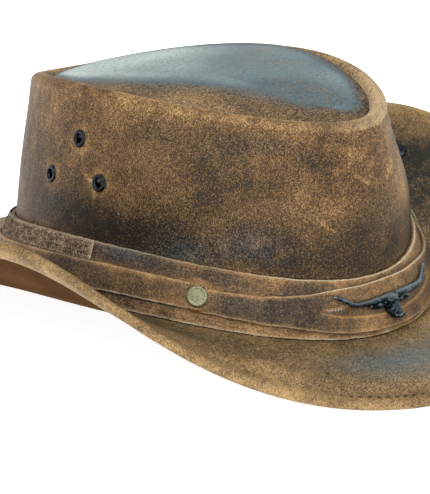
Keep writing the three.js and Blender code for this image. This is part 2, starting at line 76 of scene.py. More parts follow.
# Rolled rim of the crown
RIM_HALF_LENGTH = 88.0
RIM_HALF_WIDTH = 59.8
RIM_SIDES_FORWARD = 1.9
RIM_ROLL = 4.0
RIM_HEIGHT = 82.4
RIM_FRONT_RISE = 4.5
RIM_SIDE_RISE = 5.4
RIM_CORNER_DROP = 0.7
RIM_RIGHT_RISE = 2.6
RIM_TWIST = 1.5
RIM_SLIM_ENDS = 0.17
RIM_SLIM_FRONT = 0.09
WALL_BELLY = 1.9
WALL_BELLY_FORWARD = 1.7

# Island on top
CREASE_DEPTH = 7.0
CREASE_DEPTH_LEFT = 2.5
DOME_HEIGHT = 91.8
DOME_PEAK_AHEAD = 10.0
DOME_FRONT_LENGTH = 72.0
DOME_BACK_LENGTH = 85.0
DOME_FRONT_DROP = 13.3
DOME_BACK_DROP = 12.3
DOME_BACK_ROUND = 1.7
DOME_SHOULDER = 0.5
DOME_LIP = 0.97
DOME_LIP_RIGHT = 0.3
DOME_LIP_REACH = 0.06
DOME_VALLEY = 1.6
SPINE_SHARE = 0.6

# The island's soft fold, where its slope ends and its bluish wax with its painted sheen begins: share of the
# way in from the crease
DOME_FOLD = table(
    "angle inward",
    (-180, 0.05), (-34, 0.05), (-26, 0.31), (-18, 0.71), (-12, 0.93), (48, 0.91),
    (68, 0.84), (84, 0.75), (112, 0.59), (128, 0.5), (142, 0.32), (158, 0.05))

# Finger dents
DENT_ANGLE = 36
DENT_SPREAD = 17
DENT_DEPTH = 1.8
DENT_LEVEL = 0.72
DENT_REACH = 0.26

# Brim and hem
BRIM_WIDTH_ENDS = 58.6
BRIM_WIDTH_SIDES = 62.8
BRIM_ROLL_SHARPNESS = 4.3
BRIM_CURL = 1.9
BRIM_START_SLOPE_ENDS = -3.6
BRIM_START_SLOPE_SIDES = 25.3
BRIM_EDGE_SLOPE_SIDES = 61.2
BRIM_EDGE_SLOPE_FRONT = -30.7
BRIM_EDGE_SLOPE_BACK = -24.4
HEM_WIDTH = 7.5
HEM_THICKNESS = 4.8
REST_LEVEL = -STAND.z
STITCH_LINE = 5.2
STITCH_PITCH = 4.4

# Straps, keepers and the suede patch
KEEPER_ANGLE = 58.1
KEEPER_WIDTH = 10.0
KEEPER_FACE = 3.0
KEEPER_TOP = 0.18
KEEPER_BOTTOM = 0.82
PATCH_END_ANGLE = 89
PATCH_TOP = -0.03
PATCH_BOTTOM = 0.56
STRAP_LIFT_SPREAD = 8
FRONT_STRAP = table(
    "angle top bottom",
    (0, 0.07, 0.89), (19, 0.13, 0.88), (31, 0.25, 0.81), (42, 0.33, 0.78), (58, 0.35, 0.74))
REAR_STRAP = table(
    "angle top bottom",
    (58, 0.29, 0.72), (88, 0.29, 0.74), (125, 0.33, 0.77), (180, 0.34, 0.78))

# Metal fittings
RIVET_RADIUS = 4.5
RIVET_SHARE = 0.475
EYELET_RADIUS = 3.9
EYELET_HOLE = 1.9
EYELET_BARREL = 2.5
EYELET_FLANGE = 0.8
EYELETS = table("name angle level", ("upper", 101.3, 0.7), ("front", 91.2, 0.42), ("back", 110.9, 0.4))
SNAP_ANGLE = 86
SNAP_SHARE = 0.62
SNAP_RADIUS = 3.8
SNAP_HEIGHT = 2.2
BADGE_SPAN = 62.0
BADGE_LEVEL = 0.47

SIDES = ((1, "right"), (-1, "left"))
# What every leather piece carries as numbers on its mesh: wear with painted highlights, darkness from stains
# and
# painted shade, wax with a painted sheen, frayed fibre with a painted highlight on the rim, and how flat it
# lies
MARKS = ("worn", "dark", "bloom", "raw", "lying")


# Small helpers


def held(x):
    return min(1.0, max(0.0, x))


def smooth(x):
    t = held(x)
    return t * t * (3 - 2 * t)


def hill(x, middle, spread):
    return exp(-(((x - middle) / spread) ** 2))


def from_front(u):
    """Degrees from the front, positive over the wearer's right, within half a turn."""
    return (degrees(u) + 180) % 360 - 180


def side_angle(u):
    """Degrees from the front, the same on both sides."""
    return abs(from_front(u))


def between(rows, angle, column):
    """Straight reading between the rows of a table."""
    if angle <= rows[0]["angle"]:
        return rows[0][column]
    for low, high in zip(rows, rows[1:]):
        if angle <= high["angle"]:
            share = (angle - low["angle"]) / (high["angle"] - low["angle"])
            return low[column] + (high[column] - low[column]) * share
    return rows[-1][column]


def rough(place, size, seed=0.0):
    """Smooth noise from about -1 to 1 whose bumps are about size mm apart."""
    return noise.noise(Vector(place) / size + Vector((seed, -seed, 2 * seed)))


def swaying(place, *waves):
    """Sum of rough waves, each with its height, its width and its seed."""
    return sum(high * rough(place, wide, seed) for high, wide, seed in waves)


# The hat's drawing


def head_normal(u):
    return Vector((-sin(u) * FOOT_LENGTH, -cos(u) * FOOT_WIDTH, 0)).normalized()


def foot(u):
    height = -HEADLINE_SADDLE * cos(2 * u) + HEADLINE_PITCH * cos(u)
    return Vector((-FOOT_WIDTH * sin(u), -FOOT_LENGTH * cos(u), height))


def band_point(u, share, offset):
    out = head_normal(u)
    rise = UP * BAND_HEIGHT - out * BAND_LEAN
    return foot(u) + rise * (1 - share) + out * offset


def band_normal(u):
    along = band_point(u + 0.01, 0.5, 0) - band_point(u - 0.01, 0.5, 0)
    return (band_point(u, 0.4, 0) - band_point(u, 0.6, 0)).cross(along).normalized()


def rim_centre(u):
    c = cos(u)
    width = RIM_HALF_WIDTH * (1 - RIM_SLIM_FRONT * c - RIM_SLIM_ENDS * c * c)
    rise = RIM_FRONT_RISE * c - RIM_SIDE_RISE * cos(2 * u) + RIM_CORNER_DROP * cos(3 * u)
    skew = RIM_RIGHT_RISE * sin(u) - RIM_TWIST * sin(2 * u)
    ahead = RIM_SIDES_FORWARD * cos(2 * u) - RIM_HALF_LENGTH * c
    return Vector((-width * sin(u), ahead, RIM_HEIGHT + rise + skew))


def rim_normal(u):
    along = rim_centre(u + 0.001) - rim_centre(u - 0.001)
    return Vector((-along.y, along.x, 0)).normalized()


def wall_point(u, level):
    low = band_point(u, 0, -BAND_WALL - GAP)
    high = rim_centre(u) + rim_normal(u) * RIM_ROLL
    side = side_angle(u)
    dent = DENT_DEPTH * hill(side, DENT_ANGLE, DENT_SPREAD) * hill(level, DENT_LEVEL, DENT_REACH)
    belly = WALL_BELLY + WALL_BELLY_FORWARD * cos(u)
    return low.lerp(high, level) + head_normal(u) * (belly * sin(pi * level) - dent)


def wall_normal(u, level):
    rise = wall_point(u, level + 0.01) - wall_point(u, level - 0.01)
    along = wall_point(u + 0.01, level) - wall_point(u - 0.01, level)
    return rise.cross(along).normalized()


def dome_height(y):
    ahead = -y - DOME_PEAK_AHEAD
    if ahead > 0:
        return DOME_HEIGHT - DOME_FRONT_DROP * (ahead / DOME_FRONT_LENGTH) ** 2
    return DOME_HEIGHT - DOME_BACK_DROP * (-ahead / DOME_BACK_LENGTH) ** DOME_BACK_ROUND


def dome_right(angle):
    """1 along the wearer's right, where the island slopes gently; 0 at both ends and on the left."""
    return smooth((angle - 12) / 40) * smooth((150 - angle) / 30)


def dome_left(angle):
    """1 along the wearer's left, where the crease is shallow; 0 at both ends and on the right."""
    return smooth((-angle - 2) / 35) * smooth((178 + angle) / 20)


def dome_point(u, inward):
    """Top of the crown, from the crease (inward 0) in to the middle (1): lip, slope, soft fold and flat."""
    angle = from_front(u)
    right = dome_right(angle)
    crease = rim_centre(u) - rim_normal(u) * RIM_ROLL
    crease.z += RIM_ROLL - CREASE_DEPTH + (CREASE_DEPTH - CREASE_DEPTH_LEFT) * dome_left(angle)
    point = crease.lerp(Vector((0, crease.y * SPINE_SHARE, 0)), inward)
    lip = DOME_LIP + (DOME_LIP_RIGHT - DOME_LIP) * right
    fold = between(DOME_FOLD, angle, "inward")
    shoulder = DOME_SHOULDER + (max(fold, DOME_SHOULDER) - DOME_SHOULDER) * right
    slope = 1 - (1 - min(1.0, inward / shoulder)) ** 1.3
    climb = lip * smooth(inward / DOME_LIP_REACH) + (1 - lip) * slope
    point.z = crease.z + (dome_height(point.y) - crease.z) * climb
    point.z -= DOME_VALLEY * smooth((cos(u) + 0.4) / 1.2) * hill(inward, 1, 0.3)
    return point


# Meshes


def as_object(name, mesh, materials=()):
    """A smooth object of a bmesh, linked into the scene."""
    data = bpy.data.meshes.new(name)
    mesh.to_mesh(data)
    mesh.free()
    data.shade_smooth()
    for material in materials:
        data.materials.append(material)
    piece = bpy.data.objects.new(name, data)
    bpy.context.scene.collection.objects.link(piece)
    return piece


def finished(name, mesh, materials, replaces=()):
    """A piece of a bmesh drawn in the hat's own millimetres, riding on the hat."""
    bmesh.ops.translate(mesh, verts=mesh.verts, vec=STAND)
    bmesh.ops.scale(mesh, verts=mesh.verts, vec=(MM, MM, MM))
    piece = as_object(name, mesh, materials)
    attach(piece, "root")
    if replaces:
        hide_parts(*replaces)
    return piece


def settle(piece):
    """Applies a piece's modifiers to its mesh."""
    graph = bpy.context.evaluated_depsgraph_get()
    data = bpy.data.meshes.new_from_object(piece.evaluated_get(graph))
    piece.modifiers.clear()
    piece.data = data


def laid_grid(columns, ends=False, second=()):
    """A grid of leather: one column of rows for each step round the head.

    Each row is a place, its marks and its place on the pattern. Rows numbered in second take the second
    material, and ends closes the strip's two open ends.
    """
    around = len(columns) - 1
    across = len(columns[0]) - 1
    mesh = bmesh.new()
    bmesh.ops.create_grid(mesh, x_segments=around, y_segments=across, size=0.5)
    layers = [mesh.verts.layers.float.new(mark) for mark in MARKS]
    pattern = mesh.loops.layers.uv.new("pattern")
    spots = {}
    for vert in mesh.verts:
        i = round((vert.co.x + 0.5) * around)
        j = round((vert.co.y + 0.5) * across)
        place, marks, spot = columns[i][j]
        vert.co = place
        spots[vert.index] = (spot, j)
        for layer, mark in zip(layers, MARKS):
            vert[layer] = marks.get(mark, 0.0)
    for face in mesh.faces:
        for loop in face.loops:
            loop[pattern].uv = spots[loop.vert.index][0]
        if second:
            low = min(spots[vert.index][1] for vert in face.verts)
            face.material_index = 1 if low in second else 0
    bmesh.ops.remove_doubles(mesh, verts=mesh.verts, dist=1e-3)
    if ends:
        open_edges = [edge for edge in mesh.edges if edge.is_boundary]
        bmesh.ops.holes_fill(mesh, edges=open_edges)
    bmesh.ops.recalc_face_normals(mesh, faces=mesh.faces)
    return mesh


def spun(rows, steps):
    """A turned fitting that points along +Z, from rows of radius and height, closed at its poles."""
    mesh = bmesh.new()
    corners = [mesh.verts.new((radius, 0, height)) for radius, height in rows]
    edges = [mesh.edges.new(pair) for pair in zip(corners, corners[1:])]
    bmesh.ops.spin(mesh, geom=corners + edges, cent=(0, 0, 0), axis=(0, 0, 1), dvec=(0, 0, 0),
                   angle=2 * pi, steps=steps, use_merge=True)
    bmesh.ops.remove_doubles(mesh, verts=mesh.verts, dist=1e-4)
    bmesh.ops.recalc_face_normals(mesh, faces=mesh.faces)
    return mesh


def stand_on(mesh, point, normal):
    """Moves a fitting that points along +Z to stand on a face at a point."""
    turn = UP.rotation_difference(normal).to_matrix().to_4x4()
    bmesh.ops.transform(mesh, matrix=Matrix.Translation(point) @ turn, verts=mesh.verts)
    return mesh


def joined(meshes):
    """One bmesh of several."""
    whole = bmesh.new()
    for mesh in meshes:
        part = bpy.data.meshes.new("part")
        mesh.to_mesh(part)
        mesh.free()
        whole.from_mesh(part)
        bpy.data.meshes.remove(part)
    return whole


# Shader maths


class Value:
    """A number in a material: arithmetic on it adds Math nodes."""

    def __init__(self, finish, socket):
        self.finish = finish
        self.socket = socket

    def _math(self, operation, first, second=0.0):
        node = self.finish.add("Math", {"operation": operation}, {0: first, 1: second})
        return Value(self.finish, node.outputs[0])

    def __add__(self, other):
        return self._math("ADD", self, other)

    __radd__ = __add__

    def __mul__(self, other):
        return self._math("MULTIPLY", self, other)

    __rmul__ = __mul__

    def __sub__(self, other):
        return self._math("SUBTRACT", self, other)

    def __rsub__(self, other):
        return self._math("SUBTRACT", other, self)

    def held(self):
        """Kept from 0 to 1."""
        return self._math("MINIMUM", self._math("MAXIMUM", self, 0.0), 1.0)

    def step(self, low, high):
        """0 below low, 1 above high, smooth between."""
        node = self.finish.add("MapRange", {"interpolation_type": "SMOOTHSTEP"},
                               {"Value": self, "From Min": low, "From Max": high})
        return Value(self.finish, node.outputs["Result"])


def linear(code):
    """Linear red, green, blue and alpha of a hex colour."""
    shares = [int(code[i:i + 2], 16) / 255 for i in (1, 3, 5)]
    return (*[s / 12.92 if s <= 0.04045 else ((s + 0.055) / 1.055) ** 2.4 for s in shares], 1.0)


class Finish:
    """A material on one Principled shader, with its maths written as expressions."""

    def __init__(self, name, **constants):
        self.material = bpy.data.materials.new(name)
        self.material.use_nodes = True
        self.nodes = self.material.node_tree.nodes
        self.links = self.material.node_tree.links
        self.shader = self.nodes["Principled BSDF"]
        for socket, value in constants.items():
            self.shader.inputs[socket.replace("_", " ")].default_value = value

    def add(self, kind, settings=None, sockets=None):
        """One node: its settings come first, then the values or links of its sockets."""
        node = self.nodes.new("ShaderNode" + kind)
        for key, value in (settings or {}).items():
            if key == "stops":
                ramp = node.color_ramp
                while len(ramp.elements) < len(value):
                    ramp.elements.new(0.5)
                for element, (place, code) in zip(ramp.elements, value):
                    element.position = place
                    element.color = linear(code)
            else:
                setattr(node, key, value)
        for key, value in (sockets or {}).items():
            self.feed(node.inputs[key], value)
        return node

    def feed(self, socket, value):
        if isinstance(value, Value):
            self.links.new(value.socket, socket)
        elif isinstance(value, bpy.types.NodeSocket):
            self.links.new(value, socket)
        else:
            socket.default_value = value

    def place(self, stretch=(1, 1, 1)):
        """Where a point is on the hat, in metres, stretched along each axis."""
        spot = self.add("TexCoord").outputs["Object"]
        return self.add("Mapping", None, {"Vector": spot, "Scale": stretch}).outputs[0]

    def pattern(self, stretch=(1, 1, 1)):
        """Where a point is on its own piece: along it and across it, in metres."""
        spot = self.add("UVMap", {"uv_map": "pattern"}).outputs[0]
        return self.add("Mapping", None, {"Vector": spot, "Scale": stretch}).outputs[0]

    def mark(self, name):
        node = self.add("Attribute", {"attribute_name": name})
        return Value(self, node.outputs["Fac"])

    def noise(self, spot, per_metre, detail=3.0, roughness=0.6, distortion=0.0):
        node = self.add("TexNoise", None, {"Vector": spot, "Scale": per_metre, "Detail": detail,
                                           "Roughness": roughness, "Distortion": distortion})
        return Value(self, node.outputs["Fac"])

    def ramp(self, value, *stops):
        return self.add("ValToRGB", {"stops": stops}, {"Fac": value}).outputs["Color"]

    def mix(self, share, first, second, how="MIX"):
        colours = [linear(c) if isinstance(c, str) else c for c in (first, second)]
        node = self.add("Mix", {"data_type": "RGBA", "blend_type": how},
                        {0: share, 6: colours[0], 7: colours[1]})
        return node.outputs[2]

    def finish(self, colour=None, roughness=None, height=None, relief=0.0003, strength=0.7, metal=None):
        for socket, value in (("Base Color", colour), ("Roughness", roughness), ("Metallic", metal)):
            if value is not None:
                self.feed(self.shader.inputs[socket], value)
        if height is not None:
            bump = self.add("Bump", None, {"Height": height, "Distance": relief, "Strength": strength})
            self.links.new(bump.outputs[0], self.shader.inputs["Normal"])
        return self.material


# Grains of the leather, in bumps a metre: soft mottle, fine speckle, cracks and pores
MOTTLE = 140
SPECKLE = 700
CRACKS = 1150
PORES = 1700
# Tones from deep folds to rubbed edges
TAN = ((0.1, "#1b140c"), (0.32, "#372816"), (0.5, "#574026"), (0.7, "#755a38"), (0.95, "#ae8d5b"))
OLIVE = ((0.1, "#252219"), (0.32, "#3e3526"), (0.5, "#584730"), (0.7, "#755d3b"), (0.95, "#a4875b"))
UMBER = ((0.1, "#1a140f"), (0.34, "#35291f"), (0.52, "#55432f"), (0.72, "#7a5d3d"), (0.95, "#a68255"))
# Grey-blue of the wax with its painted sheen, from faint to bright
WAX_SHEEN = ((0.12, "#565e5f"), (0.39, "#4f656c"), (0.52, "#647b80"), (0.9, "#bccfcb"))


def leather(name, tones, shade=0.0, blotch=26, streaks=0.0, grit=1.0):
    """Waxed, rubbed leather: soft clouds under a fine speckle, paler where worn and where a highlight is
    painted, grey-blue where waxed and where a sheen is painted.

    Where the leather is lying, its speckle is coarser and stronger, as it is on the top of an old hat.
    """
    f = Finish(name, Specular_IOR_Level=0.2)
    spot = f.place()
    drawn_out = f.place((0.8, 0.8, 1.0))
    worn, dark, bloom, raw, lying = (f.mark(mark) for mark in MARKS)

    def speckle(per_metre, detail, roughness):
        upright = f.noise(spot, per_metre, detail, roughness)
        return upright + (f.noise(drawn_out, per_metre, detail, roughness) - upright) * lying

    clouds = f.noise(spot, blotch, 4.0, 0.6, 0.4)
    mottle = f.noise(spot, MOTTLE, 4.0, 0.65)
    fine = speckle(SPECKLE, 3.0, 0.7)
    cracks = speckle(CRACKS, 2.0, 0.6)
    grain = speckle(PORES, 2.0, 0.6)

    # How light the leather is, before anything lies on it
    strength = grit * (1.0 + lying * 0.5)
    tone = 0.5 + shade + (clouds - 0.5) * 0.9 + (mottle - 0.5) * 0.6 + (fine - 0.5) * 0.7 * strength
    tone = tone + (grain - 0.5) * 1.5 * strength + worn * 0.26 - dark * (mottle * 1.9 - 0.59)
    if streaks:
        drawn = f.noise(f.pattern((0.12, 1.6, 1)), 900, 3.0, 0.7)
        tone = tone + (drawn - 0.5) * streaks
    colour = f.ramp(tone.held(), *tones)

    # Dark cracks, orange pores, grey-blue wax with its painted sheen, and frayed fibre, each over the last
    colour = f.mix(cracks.step(0.58, 0.72) * (0.5 * grit), colour, "#1b1610")
    colour = f.mix((grain.step(0.56, 0.72) * (0.3 + worn * 0.25)).held(), colour, "#8c6a39")
    specks = fine.step(0.48, 0.62) * 0.4 + cracks.step(0.5, 0.62) * 0.3
    waxed_sheen = (bloom + (fine - 0.5) * 1.4 + (grain - 0.5) * 1.2).step(0.1, 0.9) * (1.0 - specks)
    colour = f.mix(waxed_sheen, colour, f.ramp(bloom * 0.5, *WAX_SHEEN))
    frayed = (raw * (fine * 1.4 + grain * 0.8 - 0.1)).held()
    colour = f.mix(frayed, colour, "#cfc6ad")

    shine = 0.55 + (fine - 0.5) * 0.3 + worn * 0.08 + raw * 0.25 - bloom * 0.06
    height = fine * 0.55 + grain * 0.45 + mottle * 0.8
    return f.finish(colour, shine.held(), height, 0.0005, 0.75)


crown_leather = leather("crown_leather", TAN)
brim_leather = leather("brim_leather", OLIVE, shade=0.21, grit=0.9)
band_leather = leather("band_leather", UMBER, shade=0.05, blotch=45, streaks=0.5, grit=0.75)
strap_leather = leather("strap_leather", UMBER, shade=0.08, blotch=40, streaks=0.3, grit=0.7)

def flesh_side():
    """The underside: smooth brown split leather with soft clouds."""
    f = Finish("underside_leather", Specular_IOR_Level=0.0)
    spot = f.place()
    clouds = f.noise(spot, 30, 4.0, 0.6)
    nap = f.noise(spot, 900, 3.0, 0.7)
    tone = 0.5 + (clouds - 0.5) * 0.8 + (nap - 0.5) * 0.5
    colour = f.ramp(tone.held(), (0.2, "#36251a"), (0.5, "#4d3622"), (0.85, "#694c31"))
    frayed = (f.mark("raw") * (nap * 1.6 - 0.1)).held()
    colour = f.mix(frayed, colour, "#9a8560")
    return f.finish(colour, (0.62 + (nap - 0.5) * 0.3).held(), nap, 0.0003, 0.6)


def napped():
    """Suede of the join patch: short grey-brown nap with paler fibres."""
    f = Finish("suede", Specular_IOR_Level=0.15)
    spot = f.place()
    nap = f.noise(spot, 1300, 3.0, 0.75)
    clumps = f.noise(f.pattern((0.5, 1.2, 1)), 420, 3.0, 0.7)
    clouds = f.noise(spot, 45, 3.0, 0.6)
    tone = 0.46 + (nap - 0.5) * 2.2 + (clumps - 0.5) * 0.9 + (clouds - 0.5) * 0.7
    colour = f.ramp(tone.held(), (0.12, "#261d16"), (0.42, "#574738"), (0.65, "#88735d"), (0.95, "#c3aa8c"))
    frayed = (f.mark("raw") * (nap * 1.5)).held()
    colour = f.mix(frayed, colour, "#d6c7ad")
    return f.finish(colour, 0.95, nap + clumps * 0.6, 0.0005, 0.9)


def thread(name, code, shadow):
    f = Finish(name, Specular_IOR_Level=0.3)
    twist = f.noise(f.place(), 2600, 2.0, 0.6)
    colour = f.mix(twist.step(0.35, 0.65), shadow, code)
    return f.finish(colour, 0.8, twist, 0.0001, 0.5)


def cast(name, dark, bright, shine, relief, scale=900, shade=0.4):
    """A cast or struck metal: darker in its hollows, bright where it is rubbed and where its mark paints a
    highlight.
    """
    f = Finish(name, Metallic=1.0)
    spot = f.place()
    skin = f.noise(spot, scale, 3.0, 0.65)
    clouds = f.noise(spot, 160, 3.0, 0.6)
    rubbed_and_lit = (shade + (skin - 0.5) * 0.9 + (clouds - 0.5) * 0.6 + f.mark("worn") * 0.7).held()
    colour = f.mix(rubbed_and_lit, dark, bright)
    return f.finish(colour, (shine + (skin - 0.5) * 0.35).held(), skin, relief, 0.6)


underside_leather = flesh_side()
suede = napped()
hem_thread = thread("hem_thread", "#4c3923", "#271d12")
rubbed_thread = thread("rubbed_thread", "#86693f", "#5f4828")
pale_thread = thread("pale_thread", "#94806a", "#655544")
gunmetal = cast("gunmetal", "#10171b", "#93a3aa", 0.3, 0.0001, 500, 0.02)
worn_brass = cast("worn_brass", "#56573f", "#bcbc98", 0.58, 0.0004)
black_metal = cast("black_metal", "#121316", "#3f454b", 0.34, 0.0001)


# Crown

CROWN_COLUMNS = 480
BAND_SHARES = [1, 0.8, 0.6, 0.4, 0.2]
WALL_STEPS = 40
ROLL_STEPS = 10
ROLL_TURN = 170
DOME_STEPS = [0.1 * k / 8 for k in range(9)] + [0.1 + 0.9 * k / 30 for k in range(1, 31)]
# Spacing of the crown's rows on its pattern, in metres
ROW_PITCH = 0.0025
# The ring that an eyelet has rubbed on the leather round it
RUB_RADIUS = 5.2
RUB_SPREAD = 2.2

# Soft spots, with stains, wear and a painted sheen: where they lie, how far they reach, and how dark, worn or
# blue they are
SPOT_WORDS = ("dark", "worn", "bloom")
SPOT_COLUMNS = "angle level wide tall dark worn bloom"
WALL_SPOTS = table(
    SPOT_COLUMNS,
    (92, 0.14, 16, 0.14, 1.0, 0, 0), (108, 0.2, 8, 0.16, 0.6, 0, 0.25), (78, 0.04, 14, 0.15, 0.9, 0, 0.1),
    (62, 0.05, 10, 0.14, 0.6, 0, 0.35), (70, 0.25, 9, 0.1, 0.3, 0, 0.1), (46, 0.2, 10, 0.16, 0.7, 0, 0.35),
    (34, 0.1, 10, 0.16, 0.6, 0, 0.1), (14, 0.2, 11, 0.22, 0.6, 0, 0), (2, 0.2, 9, 0.25, 0.45, 0, 0),
    (79, 0.85, 8, 0.1, 0.25, 0, 0.1), (44, 0.9, 9, 0.08, 0.2, 0, 0.15), (27, 0.81, 8, 0.06, 0.5, 0, 0),
    (46, 0.64, 8, 0.09, 0.4, 0, 0), (60, 0.7, 7, 0.14, 0.25, 0, 0), (62, 0.84, 24, 0.2, 0.5, 0, 0.12),
    (56, 0.5, 24, 0.2, 0.35, 0, 0), (84, 0.5, 7, 0.14, 0.3, 0, 0), (20, 0.62, 14, 0.3, 0, 0.45, 0),
    (110, 0.9, 9, 0.2, 0, 0.3, 0), (90, 0.95, 10, 0.15, 0, 0.3, 0), (126, 0.7, 8, 0.3, 0, 0.35, 0),
    (14, 0.88, 8, 0.1, 0, 0.6, 0), (31, 0.6, 5, 0.13, 0, 0.5, 0), (18, 0.48, 6, 0.08, 0, 0.4, 0),
    (5, 0.7, 5, 0.12, 0, 0.35, 0))
# Scuffs: thin pale lines from one place on the wall to another
SCUFFS = table(
    "angle level to_angle to_level wide",
    (99.5, 0.6, 96.5, 0.45, 0.7), (96.5, 0.45, 94, 0.42, 0.7), (113, 0.32, 115.5, 0.2, 0.7),
    (92, 0.36, 92.5, 0.25, 0.6), (38, 0.13, 34, 0.2, 1.0), (46, 0.16, 40, 0.24, 0.7),
    (12, 0.72, 5, 0.64, 0.8), (26, 0.42, 20, 0.34, 0.7))


def spot_marks(rows, u, level):
    """Marks that a table of soft spots leaves at a place, the same on both sides of the hat."""
    side = side_angle(u)
    marks = dict.fromkeys(SPOT_WORDS, 0.0)
    for row in rows:
        share = hill(side, row["angle"], row["wide"]) * hill(level, row["level"], row["tall"])
        for word in SPOT_WORDS:
            marks[word] += row[word] * share
    return marks


def scuffing(u, level):
    """How much of a scuff crosses a place on the wall, the same on both sides of the hat."""
    place = wall_point(radians(side_angle(u)), level)
    scuff = 0.0
    for row in SCUFFS:
        start = wall_point(radians(row["angle"]), row["level"])
        along = wall_point(radians(row["to_angle"]), row["to_level"]) - start
        share = held((place - start).dot(along) / along.length_squared)
        scuff += hill((place - start - along * share).length, 0, row["wide"])
    return min(1.0, scuff)


def eyelet_wear(u, level):
    """The pale ring that each eyelet has rubbed round itself."""
    place = wall_point(u, level)
    wear = 0.0
    for row in EYELETS:
        for side in (1, -1):
            far = (place - wall_point(side * radians(row["angle"]), row["level"])).length
            wear += hill(far, RUB_RADIUS, RUB_SPREAD)
    return min(1.0, wear)


def wall_rows(u):
    """Up inside the band, darkened there as painted shade, and up the wall, darker towards the band, with its
    soft spots, scuffs and rubbed rings.
    """
    rows = [(band_point(u, share, -BAND_WALL - GAP), {"dark": 0.6}) for share in BAND_SHARES]
    for k in range(WALL_STEPS + 1):
        level = k / WALL_STEPS
        place = wall_point(u, level)
        sway = swaying(place, (0.45, 34, 0.0), (0.16, 11, 3.0))
        marks = spot_marks(WALL_SPOTS, u, level)
        marks["dark"] += 0.15 * smooth(1 - level / 0.25)
        marks["worn"] += 0.3 * smooth((level - 0.93) / 0.07) + 0.6 * eyelet_wear(u, level)
        marks["worn"] += 1.1 * scuffing(u, level)
        rows.append((place + head_normal(u) * sway * sin(pi * level), marks))
    return rows


def roll_rows(u):
    """Over the rolled rim, palest along its top, with wear and a painted highlight, and with a painted
    highlight at the wearer's left front.
    """
    # Painted highlight at the roll's left front, laid in the wear and fray marks
    front = 0.7 * hill(from_front(u), -28, 40)
    rows = []
    for k in range(1, ROLL_STEPS + 1):
        share = k / ROLL_STEPS
        turn = radians(ROLL_TURN * k / ROLL_STEPS)
        place = rim_centre(u) + rim_normal(u) * RIM_ROLL * cos(turn) + UP * RIM_ROLL * sin(turn)
        worn = 0.35 + 0.6 * hill(share, 0.6, 0.14) + 1.6 * front
        rows.append((place, {"worn": worn, "raw": 0.3 * front, "lying": smooth((share - 0.3) / 0.4)}))
    return rows


def dome_rows(u):
    """From the crease in to the island's middle: brown up its slope with painted shade in the crease, and
    waxed grey-blue with a painted sheen past the fold.
    """
    fold = between(DOME_FOLD, from_front(u), "inward")
    soft = 0.08 + 0.36 * smooth(fold / 0.5)
    rows = []
    for inward in DOME_STEPS:
        place = dome_point(u, inward)
        sway = 0.5 * rough(place, 30, 7.0) * smooth(inward * 5)
        waxed_sheen = smooth((inward - fold + soft) / (soft + 0.12)) * (0.45 + 0.55 * smooth(inward / 0.22))
        # Painted sheen: paler towards the back and along the fold as a painted highlight, darker in the front
        # valley as painted shade
        brighter_sheen = 0.5 * smooth((place.y - 5) / 60) + 0.2 * hill(inward, fold, 0.2) * smooth(fold / 0.3)
        valley_shade = 0.75 * hill(place.y, -48, 28) * hill(inward, 1, 0.6)
        patch = 0.3 * rough(place, 26, 11.0)
        # Darker and flecked up the slope, with painted shade in the crease
        marks = {"bloom": waxed_sheen * max(0.78, 1.02 + brighter_sheen - valley_shade + patch) + 0.24 * (1 - waxed_sheen),
                 "dark": 0.45 * (1 - waxed_sheen) + 0.5 * hill(inward, 0, 0.07),
                 "worn": 1.1 * (1 - waxed_sheen), "lying": 1.0}
        rows.append((place + UP * sway, marks))
    return rows


def crown_column(u):
    length = u * MEAN_RADIUS * MM
    rows = wall_rows(u) + roll_rows(u) + dome_rows(u)
    return [(place, marks, (length, k * ROW_PITCH)) for k, (place, marks) in enumerate(rows)]


def round_columns(steps, column, start=0.0, end=360.0):
    return [column(radians(start + (end - start) * i / steps)) for i in range(steps + 1)]


def eyelet_spot(side, row):
    u = side * radians(row["angle"])
    return wall_point(u, row["level"]), wall_normal(u, row["level"])


def punches():
    """Round tools that stand through the wall where the eyelets go."""
    made = []
    for side in (1, -1):
        for row in EYELETS:
            punch = bmesh.new()
            bmesh.ops.create_cone(punch, cap_ends=True, segments=24, radius1=EYELET_BARREL + GAP,
                                  radius2=EYELET_BARREL + GAP, depth=5 * CROWN_WALL)
            made.append(stand_on(punch, *eyelet_spot(side, row)))
    return joined(made)


crown = finished("crown_shell", laid_grid(round_columns(CROWN_COLUMNS, crown_column)),
                 [crown_leather, underside_leather], ["crown"])
wall = crown.modifiers.new("wall", "SOLIDIFY")
wall.thickness = CROWN_WALL * MM
wall.offset = -1
wall.material_offset = 1
wall.material_offset_rim = 1
punch_tool = finished("punches", punches(), [])
punching = crown.modifiers.new("holes", "BOOLEAN")
punching.object = punch_tool
punching.solver = "EXACT"
settle(crown)
bpy.data.objects.remove(punch_tool)


# Brim

BRIM_COLUMNS = 880
RUN_STEPS = 48
TOP_SHARES = [1, 0.985, 0.97, 0.955, 0.94, 0.925, 0.91, 0.9, 0.89, 0.88, 0.87, 0.86, 0.84]
TOP_SHARES += [0.82 - 0.82 * k / 24 for k in range(25)]
UNDER_STEPS = 16
FLAP_STEPS = 5
NOSE_ANGLES = [-70, -50, -25, 0, 25, 50, 70]
# Soft spots on the brim: stains, wear, and some blue with a painted sheen
BRIM_SPOTS = table(
    SPOT_COLUMNS,
    (22, 0.5, 16, 0.3, 0.2, 0, 0.4), (4, 0.45, 16, 0.35, 0.2, 0, 0.5), (44, 0.35, 9, 0.25, 0.25, 0, 0),
    (62, 0.3, 12, 0.25, 0.3, 0, 0), (35, 0.1, 30, 0.12, 0.2, 0, 0), (58, 0.66, 10, 0.14, 0, 0.3, 0),
    (130, 0.5, 20, 0.3, 0.3, 0, 0.3), (86, 0.5, 24, 0.35, 1.9, 0, 0.15))
